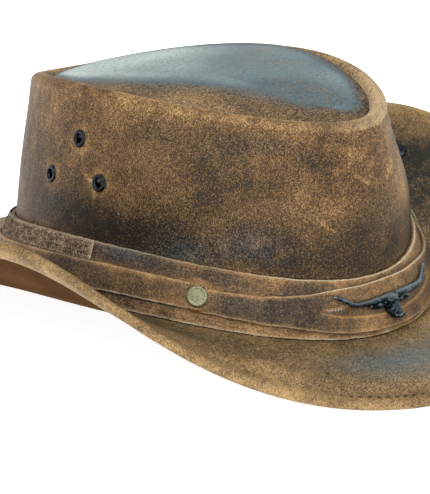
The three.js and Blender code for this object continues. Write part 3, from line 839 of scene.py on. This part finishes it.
# The hem's stitching: the height and line of its puckers, the groove's depth, and a stitch's sink and length
PUCKER_HEIGHT = 0.28
PUCKER_LINE = 4.6
GROOVE_DEPTH = 0.55
STITCH_SINK = 0.45
STITCH_LENGTH = 2.7


def side_share(u):
    return abs(sin(u)) ** BRIM_ROLL_SHARPNESS


def brim_run(u):
    """Line through the middle of the hem, from the foot of the band outwards, with its face normals."""
    share = side_share(u)
    end_slope = BRIM_EDGE_SLOPE_FRONT if cos(u) > 0 else BRIM_EDGE_SLOPE_BACK
    start = BRIM_START_SLOPE_ENDS * (1 - share) + BRIM_START_SLOPE_SIDES * share
    edge = end_slope * (1 - share) + BRIM_EDGE_SLOPE_SIDES * share
    width = BRIM_WIDTH_ENDS * (1 - share) + BRIM_WIDTH_SIDES * share
    out = head_normal(u)
    place = foot(u) - UP * GAP
    run = []
    for k in range(RUN_STEPS + 1):
        slope = radians(start + (edge - start) * (k / RUN_STEPS) ** BRIM_CURL)
        run.append((place.copy(), UP * cos(slope) - out * sin(slope)))
        middle = radians(start + (edge - start) * ((k + 0.5) / RUN_STEPS) ** BRIM_CURL)
        place = place + (out * cos(middle) + UP * sin(middle)) * (width / RUN_STEPS)
    return run, width


def brim_top(run, share):
    at = held(share) * RUN_STEPS
    k = min(RUN_STEPS - 1, int(at))
    normal = run[k][1].lerp(run[k + 1][1], at - k).normalized()
    point = run[k][0].lerp(run[k + 1][0], at - k) + normal * (HEM_THICKNESS / 2 * smooth(share))
    return point, normal


def hem_lengths():
    """How far along the hem's edge each column of the brim stands."""
    lengths = [0.0]
    last = None
    for i in range(BRIM_COLUMNS + 1):
        run, width = brim_run(2 * pi * i / BRIM_COLUMNS)
        place = brim_top(run, 1 - HEM_THICKNESS / 2 / width)[0]
        if last is not None:
            lengths.append(lengths[-1] + (place - last).length)
        last = place
    return lengths


HEM_LENGTHS = hem_lengths()
STITCHES = round(HEM_LENGTHS[-1] / STITCH_PITCH)


def stitch_wear(u):
    """How crisp the hem's stitching still is: clear round the front and back, rubbed flat along the sides."""
    side = side_angle(u)
    return 0.25 + 0.75 * smooth((34 - min(side, 180 - side)) / 10)


def top_rows(i, run, width, nose_share):
    """The brim's upper face from its hem in to the crown."""
    u = 2 * pi * i / BRIM_COLUMNS
    length = HEM_LENGTHS[i]
    crisp = stitch_wear(u)
    stitch = cos(2 * pi * STITCHES * length / HEM_LENGTHS[-1])
    wander = swaying((length, 0, 0), (0.8, 30, 5.0), (0.5, 5, 6.0))
    rows = []
    for share in TOP_SHARES:
        point, normal = brim_top(run, nose_share * share)
        inward = HEM_THICKNESS / 2 + width * nose_share * (1 - share)
        pucker = PUCKER_HEIGHT * crisp * stitch * hill(inward, PUCKER_LINE, 2.0)
        groove = -GROOVE_DEPTH * crisp * hill(inward, STITCH_LINE, 0.8)
        fold = 0.35 * rough(point, 7, 9.0) * hill(inward, 4.0, 3.0)
        sway = swaying(point, (0.5, 36, 2.0), (0.15, 9, 4.0)) * smooth(inward / 12 - 0.5)
        sway = sway * smooth((share * nose_share) / 0.15)
        marks = spot_marks(BRIM_SPOTS, u, nose_share * share)
        hem = 1 - smooth((inward - STITCH_LINE - wander + 0.4) / 1.6)
        marks["worn"] += (0.15 + 0.3 * (1 - crisp)) * hem + 0.2 * hill(inward, 11, 4)
        marks["lying"] = smooth((normal.z - 0.6) / 0.3) * smooth((inward - 3) / 6)
        # Painted shade along the stitch groove and where the brim meets the crown
        marks["dark"] += 0.25 * crisp * hill(inward, STITCH_LINE + 0.4, 0.9) + 0.25 * smooth(1 - share / 0.12)
        rows.append((point + normal * (pucker + groove + fold + sway), marks, inward))
    return rows


def under_rows(u, run, width, hem_share, nose_share):
    """Down under the foot of the crown and out along the underside, to the turned hem's raw edge and flap."""
    rim = foot(u) - head_normal(u) * FOOT_WALLS
    rows = [(rim + UP * (drop - GAP), {}, width) for drop in (0, -BRIM_WALL)]
    for k in range(UNDER_STEPS + 1):
        share = hem_share * k / UNDER_STEPS
        point, normal = brim_top(run, share)
        rows.append((point - normal * BRIM_WALL, {}, width * (1 - share)))
    for k in range(FLAP_STEPS + 1):
        share = hem_share + (nose_share - hem_share) * k / FLAP_STEPS
        point, normal = brim_top(run, share)
        marks = {"worn": 0.5, "raw": 0.25 if k == 0 else 0.0}
        sag = 0.2 * rough(point, 8, 6.0)
        rows.append((point - normal * (HEM_THICKNESS + sag), marks, width * (1 - share)))
    return rows


def nose_rows(u, run, nose_share):
    """Round the hem's edge, from the flap up to the upper face."""
    nose = HEM_THICKNESS / 2
    out = head_normal(u)
    point, normal = brim_top(run, nose_share)
    outward = Vector((-out.y, out.x, 0)).cross(normal).normalized()
    marks = {"worn": 0.25 + 0.1 * (1 - stitch_wear(u))}
    rows = []
    for turn in NOSE_ANGLES:
        a = radians(turn)
        swell = nose * (1 + 0.05 * rough(point, 6, 8.0))
        place = point - normal * nose + normal * nose * sin(a) + outward * swell * cos(a)
        rows.append((place, marks, nose * (1 - turn / 90) / 2))
    return rows


def brim_column(i):
    """One closed section of the brim, kept above the floor that the hem stands on."""
    u = 2 * pi * i / BRIM_COLUMNS
    run, width = brim_run(u)
    nose_share = 1 - HEM_THICKNESS / 2 / width
    rows = top_rows(i, run, width, nose_share)
    rows += under_rows(u, run, width, 1 - HEM_WIDTH / width, nose_share)
    rows += nose_rows(u, run, nose_share)
    rows.append(rows[0])
    column = []
    for place, marks, inward in rows:
        place = place.copy()
        place.z = max(place.z, REST_LEVEL)
        column.append((place, marks, (HEM_LENGTHS[i] * MM, inward * MM)))
    return column


under_start = len(TOP_SHARES)
brim_mesh = laid_grid([brim_column(i) for i in range(BRIM_COLUMNS + 1)],
                      second=range(under_start, under_start + UNDER_STEPS + 2))
finished("brim_sheet", brim_mesh, [brim_leather, underside_leather], ["brim"])


def lay_stitch(point, ahead, normal, length, thick=0.5, wide=0.7):
    """One small stitch that lies on a face at a point and runs ahead."""
    mesh = bmesh.new()
    bmesh.ops.create_uvsphere(mesh, u_segments=6, v_segments=4, radius=0.5)
    bmesh.ops.scale(mesh, verts=mesh.verts, vec=(length, wide, thick))
    along = (ahead - normal * ahead.dot(normal)).normalized()
    across = normal.cross(along)
    turn = Matrix((along, across, normal)).transposed().to_4x4()
    bmesh.ops.transform(mesh, matrix=Matrix.Translation(point) @ turn, verts=mesh.verts)
    return mesh


def hem_stitches():
    """The row of thread along the hem, sunk in its groove between the puckers."""
    made = []
    for k in range(STITCHES):
        target = (k + 0.5) / STITCHES * HEM_LENGTHS[-1]
        i = next(n for n, far in enumerate(HEM_LENGTHS) if far >= target)
        low, high = HEM_LENGTHS[i - 1], HEM_LENGTHS[i]
        at = (i - 1 + (target - low) / (high - low)) / BRIM_COLUMNS
        places = []
        for near in (at - 0.001, at, at + 0.001):
            run, width = brim_run(2 * pi * near)
            places.append(brim_top(run, 1 - STITCH_LINE / width))
        point, normal = places[1]
        seat = point - normal * STITCH_SINK
        seat.z = max(seat.z, REST_LEVEL + 0.3)
        stitch = lay_stitch(seat, places[2][0] - places[0][0], normal, STITCH_LENGTH)
        for face in stitch.faces:
            face.material_index = 0 if stitch_wear(2 * pi * at) > 0.5 else 1
        made.append(stitch)
    return joined(made)


finished("hem_stitching", hem_stitches(), [hem_thread, rubbed_thread])


# Band and straps

BAND_COLUMNS = 720
# A cut strip's edges: how far the face stands in from them, how deep they are rounded, and how far they fray
EDGE_INSET = 0.35
EDGE_ROUND = 0.55
FRAY = 0.22
# Rough radius and height of the band's face, by which creases and frays are laid along it
CREASE_RADIUS = 95
CREASE_HEIGHT = 26
# Steps across the faces of the band, the straps and the patch
BAND_FACE = 26
FRONT_FACE = 40
REAR_FACE = 16
PATCH_FACE = 16


def strip_rows(wall, face):
    """Rows of a strip's section from its back top corner over its face to its back bottom corner.

    Each says where it is, how far in it stands, in mm or as a share of the face, and how deep it lies.
    """
    corner = [(0, -wall), (0, -0.55 * wall), (0.02, -EDGE_ROUND), (0.16, -0.16)]
    rows = [("top", at, depth) for at, depth in corner]
    rows += [("face", k / face, 0) for k in range(face + 1)]
    return rows + [("bottom", at, depth) for at, depth in reversed(corner)]


def strip_column(u, top, bottom, low, wall, marks_at, face, relief, seed, fray=FRAY):
    """One column of a strip on the band, between two shares of its height, low mm off its face."""
    along = u * MEAN_RADIUS
    top += fray / SLANT * (rough((along, 0, 0), 1.6, 11 + seed) + rough((along, 9, 0), 7, seed))
    bottom += fray / SLANT * (rough((along, 5, 0), 1.4, 13 + seed) + rough((along, 3, 0), 8, seed))
    inset = EDGE_INSET / SLANT
    rows = []
    for zone, at, depth in strip_rows(wall, face):
        if zone == "top":
            share = top + at / SLANT
        elif zone == "bottom":
            share = bottom - at / SLANT
        else:
            share = top + inset + (bottom - top - 2 * inset) * at
        lift = relief(u, share) if zone == "face" else 0.0
        place = band_point(u, share, low + wall + depth + lift)
        if zone == "face":
            place += head_normal(u) * 0.12 * rough(place, 6, 21 + seed)
        marks = marks_at(u, share, (share - top) * SLANT, (bottom - share) * SLANT)
        if zone == "top" and depth < -0.8:
            marks["raw"] = 0.0
        rows.append((place, marks, (along * MM, share * SLANT * MM)))
    rows.append(rows[0])
    return rows


def edge_marks(down, upward, worn, raw_top, raw_bottom):
    """Wear that every cut strip shows: orange along its edges, and pale where the cut has frayed."""
    marks = {"worn": worn * (hill(down, 0, 1.2) + hill(upward, 0, 1.2))}
    marks["raw"] = raw_top * smooth(1 - down / 0.35) + 1.2 * raw_bottom * smooth(1 - upward / 0.9)
    return marks


def broken(u, seed):
    """Share of loose fibre left at an angle: a line of it comes and goes along an edge."""
    return 0.65 + 0.5 * rough((u * CREASE_RADIUS, seed * 7, 0), 5, seed)


def dented(u, share, wide, seed):
    """Soft dents along a strip, from about -1 to 1."""
    return rough((u * CREASE_RADIUS, share * CREASE_HEIGHT, 0), wide, seed)


def strap_edges(rows, u):
    """Shares of the band's height at which a strap's upper and lower edges run."""
    return [between(rows, side_angle(u), edge) for edge in ("top", "bottom")]


def crowned(rows, u, share):
    """How far a strap swells up across its width."""
    top, bottom = strap_edges(rows, u)
    return 0.35 * sin(pi * held((share - top) / (bottom - top)))


def band_marks(u, share, down, upward):
    side = side_angle(u)
    front = smooth((50 - side) / 20)
    marks = edge_marks(down, upward, 0.7, 0.3 + 0.5 * front, 0.9 * smooth(side / 25) * broken(u, 1.0))
    # Painted sheen: a dark grey-blue patch on the upper band along the sides
    blue = hill(side, 80, 12) * smooth(1 - share / 0.5)
    marks["bloom"] = 0.45 * blue
    marks["dark"] = 0.6 * blue + 0.25 * hill(share, 0.15, 0.12) * (1 - front)
    marks["worn"] += 0.5 * smooth((share - 0.7) / 0.1) * (1 - 0.6 * smooth((side - 60) / 15))
    marks["worn"] += 0.2 * smooth(1 - share / 0.3) * front
    marks["raw"] += 0.7 * hill(from_front(u), 4, 1.6) * smooth(1 - upward / 2.5)
    return marks


def band_relief(u, share):
    """Long shallow creases pressed along the band."""
    along = u * CREASE_RADIUS
    return 0.16 * rough((along / 9, share * SLANT, 0), 1.1, 31) + 0.2 * rough((along, share * 40, 0), 22, 33)


def band_column(u):
    return strip_column(u, 0, 1, -BAND_WALL, BAND_WALL, band_marks, BAND_FACE, band_relief, 1.0)


finished("band_strip", laid_grid(round_columns(BAND_COLUMNS, band_column)),
         [band_leather], ["hat_band"])


def strap_lift(angle):
    """How far a strap's back stands off the band: it climbs onto the suede patch behind."""
    climb = smooth(1 + (angle - PATCH_END_ANGLE) / STRAP_LIFT_SPREAD)
    return GAP + (PATCH_WALL + GAP) * climb


# Pointed oval pressed into the front strap under the badge
OVAL_REACH = 25.2
OVAL_LEVEL = 0.505
OVAL_HALF_HEIGHT = 3.6
OVAL_STITCHES = 360


def oval_edge(u, share):
    """Distance in mm from the oval's edge, positive inside."""
    within = 1 - (from_front(u) / OVAL_REACH) ** 2
    half = OVAL_HALF_HEIGHT * copysign(abs(within) ** 0.6, within)
    return half - abs(share - OVAL_LEVEL) * SLANT


def front_relief(u, share):
    edge = oval_edge(u, share)
    pressed = -0.55 * hill(edge, 0, 0.45) - 0.25 * smooth(edge / 0.6)
    return pressed + crowned(FRONT_STRAP, u, share) + 0.2 * dented(u, share, 9, 41)


def front_marks(u, share, down, upward):
    angle = from_front(u)
    side = abs(angle)
    clear = smooth(down / 2) * smooth(upward / 2)
    marks = edge_marks(down, upward, 0.75, 0.15 + 0.6 * smooth((42 - side) / 25), 0.35)
    edge = oval_edge(u, share)
    marks["worn"] += 1.1 * hill(edge, 0, 0.5)
    stitched = smooth((angle - 17) / 2) * (0.5 + 0.5 * cos(radians(angle) * OVAL_STITCHES))
    marks["raw"] += 0.6 * stitched * hill(edge, 0.9, 0.4) * smooth((OVAL_LEVEL - share) * 60)
    marks["dark"] = 0.15 * smooth(edge) + 0.62 * hill(side, 39, 14) * clear
    # A faint painted sheen on the strap's sides
    marks["bloom"] = 0.2 * hill(side, 45, 15) * clear
    marks["worn"] += 0.1 * hill(side, 4, 16)
    return marks


def rear_relief(u, share):
    return crowned(REAR_STRAP, u, share) + 0.25 * dented(u, share, 12, 43)


def rear_marks(u, share, down, upward):
    side = side_angle(u)
    marks = edge_marks(down, upward, 0.85, 0.12, 0.9 * broken(u, 2.0))
    marks["dark"] = 0.3 * hill(side, 97, 16)
    marks["worn"] += 0.3 * hill(side, 64, 8)
    return marks


def strap(node, rows, marks_at, relief, start, end, columns, face, seed):
    def column(u):
        return strip_column(u, *strap_edges(rows, u), strap_lift(side_angle(u)), STRAP_WALL, marks_at, face,
                            relief, seed)

    mesh = laid_grid(round_columns(columns, column, start, end), ends=True)
    finished(f"{node}_strip", mesh, [strap_leather], [node])


KEEPER_SPREAD = KEEPER_WIDTH / 2 / (band_point(radians(KEEPER_ANGLE), 0.5, 0)
                                    - band_point(radians(KEEPER_ANGLE + 1), 0.5, 0)).length
FRONT_END = KEEPER_ANGLE - KEEPER_SPREAD / 4
REAR_END = KEEPER_ANGLE + KEEPER_SPREAD / 4
strap("front_strap", FRONT_STRAP, front_marks, front_relief, -FRONT_END, FRONT_END, 340, FRONT_FACE, 2.0)
strap("rear_strap", REAR_STRAP, rear_marks, rear_relief, REAR_END, 360 - REAR_END, 420, REAR_FACE, 3.0)


# Suede patch on the back of the band, and its stitching

PATCH_COLUMNS = 300
PATCH_FRAY = 0.3
PATCH_STITCH_SHARES = (0.17, 0.29)
PATCH_STITCHES = 150
PATCH_END_STITCHES = 6
THREAD_SEAT = GAP + PATCH_WALL + 0.1
THREAD_THICK = 0.4
THREAD_WIDE = 0.45


def patch_marks(u, share, down, upward):
    ahead = (side_angle(u) - PATCH_END_ANGLE) * 1.75
    return {"raw": 0.4 * smooth(1 - ahead / 0.6) + 0.35 * smooth(1 - down / 0.9)}


def patch_relief(u, share):
    return 0.15 * dented(u, share, 3, 51)


def patch_column(u):
    return strip_column(u, PATCH_TOP, PATCH_BOTTOM, GAP, PATCH_WALL, patch_marks, PATCH_FACE, patch_relief,
                        4.0, PATCH_FRAY)


def patch_stitches():
    """Two rows of pale thread along the suede, and one down each end."""
    made = []
    for share in PATCH_STITCH_SHARES:
        for k in range(PATCH_STITCHES):
            u = radians(PATCH_END_ANGLE + 1.2 + (358 - 2 * PATCH_END_ANGLE) * (k + 0.5) / PATCH_STITCHES)
            point = band_point(u, share, THREAD_SEAT)
            ahead = band_point(u + 0.01, share, THREAD_SEAT) - point
            made.append(lay_stitch(point, ahead, band_normal(u), 1.5, THREAD_THICK, THREAD_WIDE))
    for side in (1, -1):
        u = side * radians(PATCH_END_ANGLE + 0.7)
        for k in range(PATCH_END_STITCHES):
            share = 0.02 + 0.045 * k
            point = band_point(u, share, THREAD_SEAT)
            rise = band_point(u, share - 0.1, GAP) - band_point(u, share, GAP)
            made.append(lay_stitch(point, rise, band_normal(u), 1.0, THREAD_THICK, THREAD_WIDE))
    return joined(made)


patch_mesh = laid_grid(round_columns(PATCH_COLUMNS, patch_column, PATCH_END_ANGLE, 360 - PATCH_END_ANGLE),
                       ends=True)
finished("join_patch", patch_mesh, [suede], ["band_join_patch"])
finished("patch_stitching", patch_stitches(), [pale_thread])


# Keepers

KEEPER_COLUMNS = 40
KEEPER_ROWS = 56
KEEPER_OVERHANG = 1.3
KEEPER_SINK = 0.5
KEEPER_SHOULDER = 0.45
KEEPER_LEATHER = 1.2
KEEPER_DEGREE = 1.6
RIVET_PRESS = 0.8
RIVET_PRESS_REACH = 1.5


def keeper_mesh(side):
    """The bridge that the strap ends run under: a soft pillow of leather, pressed in under its rivet."""
    seat = band_point(radians(side * KEEPER_ANGLE), RIVET_SHARE, KEEPER_FACE)
    columns = []
    for i in range(KEEPER_COLUMNS + 1):
        across = -1 + 2 * i / KEEPER_COLUMNS
        u = radians(side * KEEPER_ANGLE + across * KEEPER_SPREAD * KEEPER_OVERHANG)
        column = []
        for j in range(KEEPER_ROWS + 1):
            down = -1 + 2 * j / KEEPER_ROWS
            share = (KEEPER_TOP + KEEPER_BOTTOM) / 2 + down * (KEEPER_BOTTOM - KEEPER_TOP) / 2
            reach = (abs(across) ** 4 + abs(down) ** 4) ** 0.25
            swell = smooth((1 - reach) / KEEPER_SHOULDER)
            place = band_point(u, share, (KEEPER_FACE + KEEPER_SINK) * swell - KEEPER_SINK)
            near = RIVET_RADIUS + RIVET_PRESS_REACH - (place - seat).length
            pressed = RIVET_PRESS * smooth(near / RIVET_PRESS_REACH)
            place += head_normal(u) * (0.2 * rough(place, 4, 61) - pressed) * swell
            # Paler towards its lower end: a painted highlight against the shade under its swell
            marks = {"worn": 0.25 + 0.6 * smooth((down - 0.45) / 0.3)}
            column.append((place, marks, (degrees(u) * KEEPER_DEGREE * MM, share * SLANT * MM)))
        columns.append(column)
    return laid_grid(columns)


for side, hand in SIDES:
    keeper = finished(f"band_keeper_{hand}", keeper_mesh(side), [band_leather])
    body = keeper.modifiers.new("body", "SOLIDIFY")
    body.thickness = KEEPER_LEATHER * MM
    body.offset = -1


# Metal fittings


def profile(radius, *rows):
    """Rows of a turned fitting, from shares of its radius and heights in mm."""
    return [(share * radius, height) for share, height in rows]


RIVET_ROWS = profile(
    RIVET_RADIUS, (0, -0.9), (2 / 3, -0.9), (0.97, -0.2), (1, 0.25), (0.99, 0.6), (0.93, 0.82), (0.86, 0.9),
    (0.8, 0.88), (0.76, 0.83), (0.6, 0.85), (0.3, 0.92), (0, 0.94))
SNAP_ROWS = profile(
    SNAP_RADIUS, (0, -0.3), (1, -0.3), (1, 0.2), (0.9, 0.55), (0.62, 0.8), (0.5, 1.2), (0.56, 1.7),
    (0.52, 2.0), (0.36, SNAP_HEIGHT), (0, SNAP_HEIGHT))
# The eyelet's barrel runs through the wall to a flange under it
UNDER = -CROWN_WALL - GAP
EYELET_ROWS = [
    (EYELET_HOLE, UNDER - 0.5), (EYELET_BARREL, UNDER - EYELET_FLANGE),
    *profile(EYELET_RADIUS, (0.9, UNDER - 0.4), (0.9, UNDER)), (EYELET_BARREL, UNDER), (EYELET_BARREL, 0.05),
    *profile(EYELET_RADIUS, (1, 0.02), (1, 0.35), (0.92, 0.72), (0.78, 0.95), (0.64, 0.9), (0.53, 0.6)),
    (EYELET_HOLE, 0.1), (EYELET_HOLE, UNDER - 0.5)]
RIVET_SEAT = KEEPER_FACE - 0.1
SNAP_SEAT = 0.2

for side, hand in SIDES:
    u = side * radians(KEEPER_ANGLE)
    rivet = stand_on(spun(RIVET_ROWS, 48), band_point(u, RIVET_SHARE, RIVET_SEAT), band_normal(u))
    finished(f"rivet_cap_{hand}", rivet, [worn_brass], [f"band_rivet_{hand}"])
    point, normal = brim_top(brim_run(side * radians(SNAP_ANGLE))[0], SNAP_SHARE)
    stud = stand_on(spun(SNAP_ROWS, 32), point + normal * SNAP_SEAT, normal)
    finished(f"snap_stud_{hand}", stud, [black_metal], [f"brim_snap_{hand}"])
    for row in EYELETS:
        name = f"{row['name']}_{hand}"
        ring = stand_on(spun(EYELET_ROWS, 32), *eyelet_spot(side, row))
        finished(f"eyelet_ring_{name}", ring, [black_metal], [f"vent_eyelet_{name}"])


# Bull head badge, modelled flat in half spans and bent onto the strap

HORN = table(
    "out up proud radius",
    (0.03, 0.1, 0.05, 0.05), (0.16, 0.1, 0.052, 0.049), (0.3, 0.09, 0.052, 0.046),
    (0.43, 0.079, 0.052, 0.044), (0.55, 0.069, 0.052, 0.042), (0.65, 0.063, 0.05, 0.039),
    (0.72, 0.073, 0.048, 0.036), (0.78, 0.1, 0.046, 0.033), (0.85, 0.14, 0.045, 0.029),
    (0.92, 0.17, 0.044, 0.025), (0.98, 0.19, 0.042, 0.02))
HEAD_LEAN = 0.085
# Forms that melt into the head: forehead, face, muzzle, nose and its bridge, brows, poll, nostrils and ears
HEAD_FORMS = table(
    "across up proud wide tall deep",
    (0, 0.075, 0.03, 0.165, 0.075, 0.1), (0, 0.0, 0.02, 0.165, 0.1, 0.088),
    (0, -0.08, 0.02, 0.14, 0.12, 0.085), (0, -0.15, 0.02, 0.115, 0.08, 0.085),
    (0, -0.19, 0.025, 0.11, 0.045, 0.095), (0, -0.05, 0.08, 0.026, 0.12, 0.035),
    (0.11, 0.035, 0.075, 0.045, 0.014, 0.03), (0, 0.105, 0.09, 0.04, 0.024, 0.032),
    (0.085, 0.095, 0.08, 0.035, 0.022, 0.03), (0.055, -0.188, 0.085, 0.034, 0.026, 0.038),
    (0.27, 0.005, 0.04, 0.14, 0.046, 0.04))
# Hollows pressed into the head: nostrils, eyes and the cups of the ears
HOLLOWS = table(
    "across up reach deep",
    (0.055, -0.19, 0.014, 0.05), (0.105, 0.005, 0.018, 0.03), (0.27, 0.004, 0.035, 0.045),
    (0.33, 0.0, 0.03, 0.04))
MELT_SIZE = 0.0075
BADGE_SEAT = 0.15


def head_lean(up):
    """How far the head leans to the wearer's right of its nose, at a height on the badge."""
    return -HEAD_LEAN * smooth((up + 0.25) / 0.35)


def form_mesh(row, side):
    mesh = bmesh.new()
    bmesh.ops.create_uvsphere(mesh, u_segments=24, v_segments=16, radius=1)
    bmesh.ops.scale(mesh, verts=mesh.verts, vec=(row["wide"], row["tall"], row["deep"]))
    across = side * row["across"] + head_lean(row["up"])
    bmesh.ops.translate(mesh, verts=mesh.verts, vec=(across, row["up"], row["proud"]))
    return mesh


def horn_mesh(side):
    """A horn: a circle drawn out along the table's rows and closed with a round tip."""
    spots = [Vector((side * row["out"], row["up"], row["proud"])) for row in HORN]
    mesh = bmesh.new()
    rings = []
    for i, row in enumerate(HORN):
        along = (spots[min(len(HORN) - 1, i + 1)] - spots[max(0, i - 1)]).normalized()
        turn = UP.rotation_difference(along).to_matrix().to_4x4()
        made = bmesh.ops.create_circle(mesh, segments=20, radius=row["radius"],
                                       matrix=Matrix.Translation(spots[i]) @ turn)
        rings.append(made["verts"])
    for low, high in zip(rings, rings[1:]):
        edges = [edge for ring in (low, high) for edge in mesh.edges
                 if edge.verts[0] in ring and edge.verts[1] in ring]
        bmesh.ops.bridge_loops(mesh, edges=edges)
    bmesh.ops.holes_fill(mesh, edges=[edge for edge in mesh.edges if edge.is_boundary])
    tip = bmesh.new()
    bmesh.ops.create_uvsphere(tip, u_segments=20, v_segments=12, radius=HORN[-1]["radius"] * 1.12)
    bmesh.ops.translate(tip, verts=tip.verts, vec=spots[-1])
    return joined([mesh, tip])


def melted(mesh):
    """One smooth skin over overlapping forms."""
    bmesh.ops.recalc_face_normals(mesh, faces=mesh.faces)
    rough_cast = as_object("badge_forms", mesh)
    melt = rough_cast.modifiers.new("melt", "REMESH")
    melt.mode = "VOXEL"
    melt.voxel_size = MELT_SIZE
    melt.use_smooth_shade = True
    soften = rough_cast.modifiers.new("soften", "SMOOTH")
    soften.factor = 0.5
    soften.iterations = 2
    settle(rough_cast)
    skin = bmesh.new()
    skin.from_mesh(rough_cast.data)
    bpy.data.objects.remove(rough_cast)
    return skin


def hollowed(x, y):
    """How deep the badge's hollows are at a place on it."""
    return sum(row["deep"] * hill(hypot(abs(x - head_lean(row["up"])) - row["across"], y - row["up"]),
                                  0, row["reach"]) for row in HOLLOWS)


def badge():
    """The badge, bent onto the front strap, darker in its hollows, rubbed on its high points and horn tips,
    with a painted highlight on its upper sides.
    """
    forms = [form_mesh(row, side) for row in HEAD_FORMS for side in ((1, -1) if row["across"] else (1,))]
    mesh = melted(joined([horn_mesh(1), horn_mesh(-1), *forms]))
    half = BADGE_SPAN / 2
    step = 0.01
    per_radian = (band_point(step, BADGE_LEVEL, 0) - band_point(-step, BADGE_LEVEL, 0)).length / (2 * step)
    level = BAND_HEIGHT / SLANT
    seat = strap_lift(0) + STRAP_WALL + BADGE_SEAT
    rubbed_and_lit = mesh.verts.layers.float.new("worn")
    for vert in mesh.verts:
        x, y, z = vert.co
        # Painted highlight on the upper sides; rubbed paler on high points and horn tips; darker in the
        # hollows
        upward = smooth(0.5 + 0.6 * vert.normal.y + 0.2 * vert.normal.x)
        sunk = hollowed(x, y)
        tip = smooth((abs(x) - 0.93) / 0.04)
        vert[rubbed_and_lit] = 0.75 * upward ** 3 + 0.4 * smooth((z - 0.1) / 0.05) - 9 * sunk + 0.5 * tip
        x, y, z = half * x, half * y, half * (z - sunk * smooth(z / 0.05))
        carved = 0.05 * rough((x * 1.5, y, z), 0.9, 71) * smooth(1 - abs(x) / 6) * smooth(z)
        vert.co = band_point(-x / per_radian, BADGE_LEVEL - y / SLANT, seat + (max(z, 0.0) + carved) / level)
    bmesh.ops.recalc_face_normals(mesh, faces=mesh.faces)
    return mesh


finished("bull_badge", badge(), [gunmetal], ["bull_head_badge"])


# Floor, light and camera

VIEW_ANGLE = 49.296
VIEW_RISE = 17.869
VIEW_DISTANCE = 2331.0
VIEW_LENS_PIXELS = 5228.0
LONG_SIDE_PIXELS = 494
SENSOR = 36.0
AIM_ACROSS = 1.343
AIM_UP = 9.617


# The floor glows evenly, lighting the hat from below and lightening its shadow: painted light
def glowing_paper():
    f = Finish("glowing_paper", Specular_IOR_Level=0.2, Roughness=0.8, Emission_Color=(1, 1, 1, 1),
               Emission_Strength=0.9)
    mottle = f.noise(f.place(), 4, 2.0, 0.5)
    return f.finish(f.mix(mottle, "#f4f4f3", "#f8f8f7"))


def floor():
    mesh = bmesh.new()
    bmesh.ops.create_circle(mesh, cap_ends=True, segments=96, radius=14)
    sheet = as_object("floor", mesh, [glowing_paper()])


def lamp(name, watts, size, place):
    data = bpy.data.lights.new(name, "AREA")
    data.energy = watts
    data.shape = "DISK"
    data.size = size
    light = bpy.data.objects.new(name, data)
    light.location = place
    aim = Vector((0, 0, 0.05)) - Vector(place)
    light.rotation_euler = aim.to_track_quat("-Z", "Y").to_euler()
    bpy.context.scene.collection.objects.link(light)


def sky(strength):
    world = bpy.data.worlds.new("studio")
    world.use_nodes = True
    background = world.node_tree.nodes["Background"].inputs
    background["Color"].default_value = (1.0, 1.0, 1.0, 1.0)
    background["Strength"].default_value = strength
    bpy.context.scene.world = world


def viewpoint():
    around, rise = radians(VIEW_ANGLE), radians(VIEW_RISE)
    back = Vector((-sin(around) * cos(rise), -cos(around) * cos(rise), sin(rise)))
    across = Vector((cos(around), -sin(around), 0))
    target = (across * AIM_ACROSS + UP * AIM_UP + STAND) * MM
    data = bpy.data.cameras.new("camera")
    data.sensor_width = SENSOR
    data.lens = VIEW_LENS_PIXELS * SENSOR / LONG_SIDE_PIXELS
    data.clip_end = 60
    camera = bpy.data.objects.new("camera", data)
    camera.location = target + back * VIEW_DISTANCE * MM
    camera.rotation_euler = (-back).to_track_quat("-Z", "Y").to_euler()
    bpy.context.scene.collection.objects.link(camera)
    bpy.context.scene.camera = camera


floor()
sky(0.88)
lamp("window", 20, 1.2, (-1.1, -0.5, 1.5))
lamp("fill", 8, 1.6, (-0.6, -1.8, 0.7))
viewpoint()
bpy.context.scene.view_settings.view_transform = "Standard"
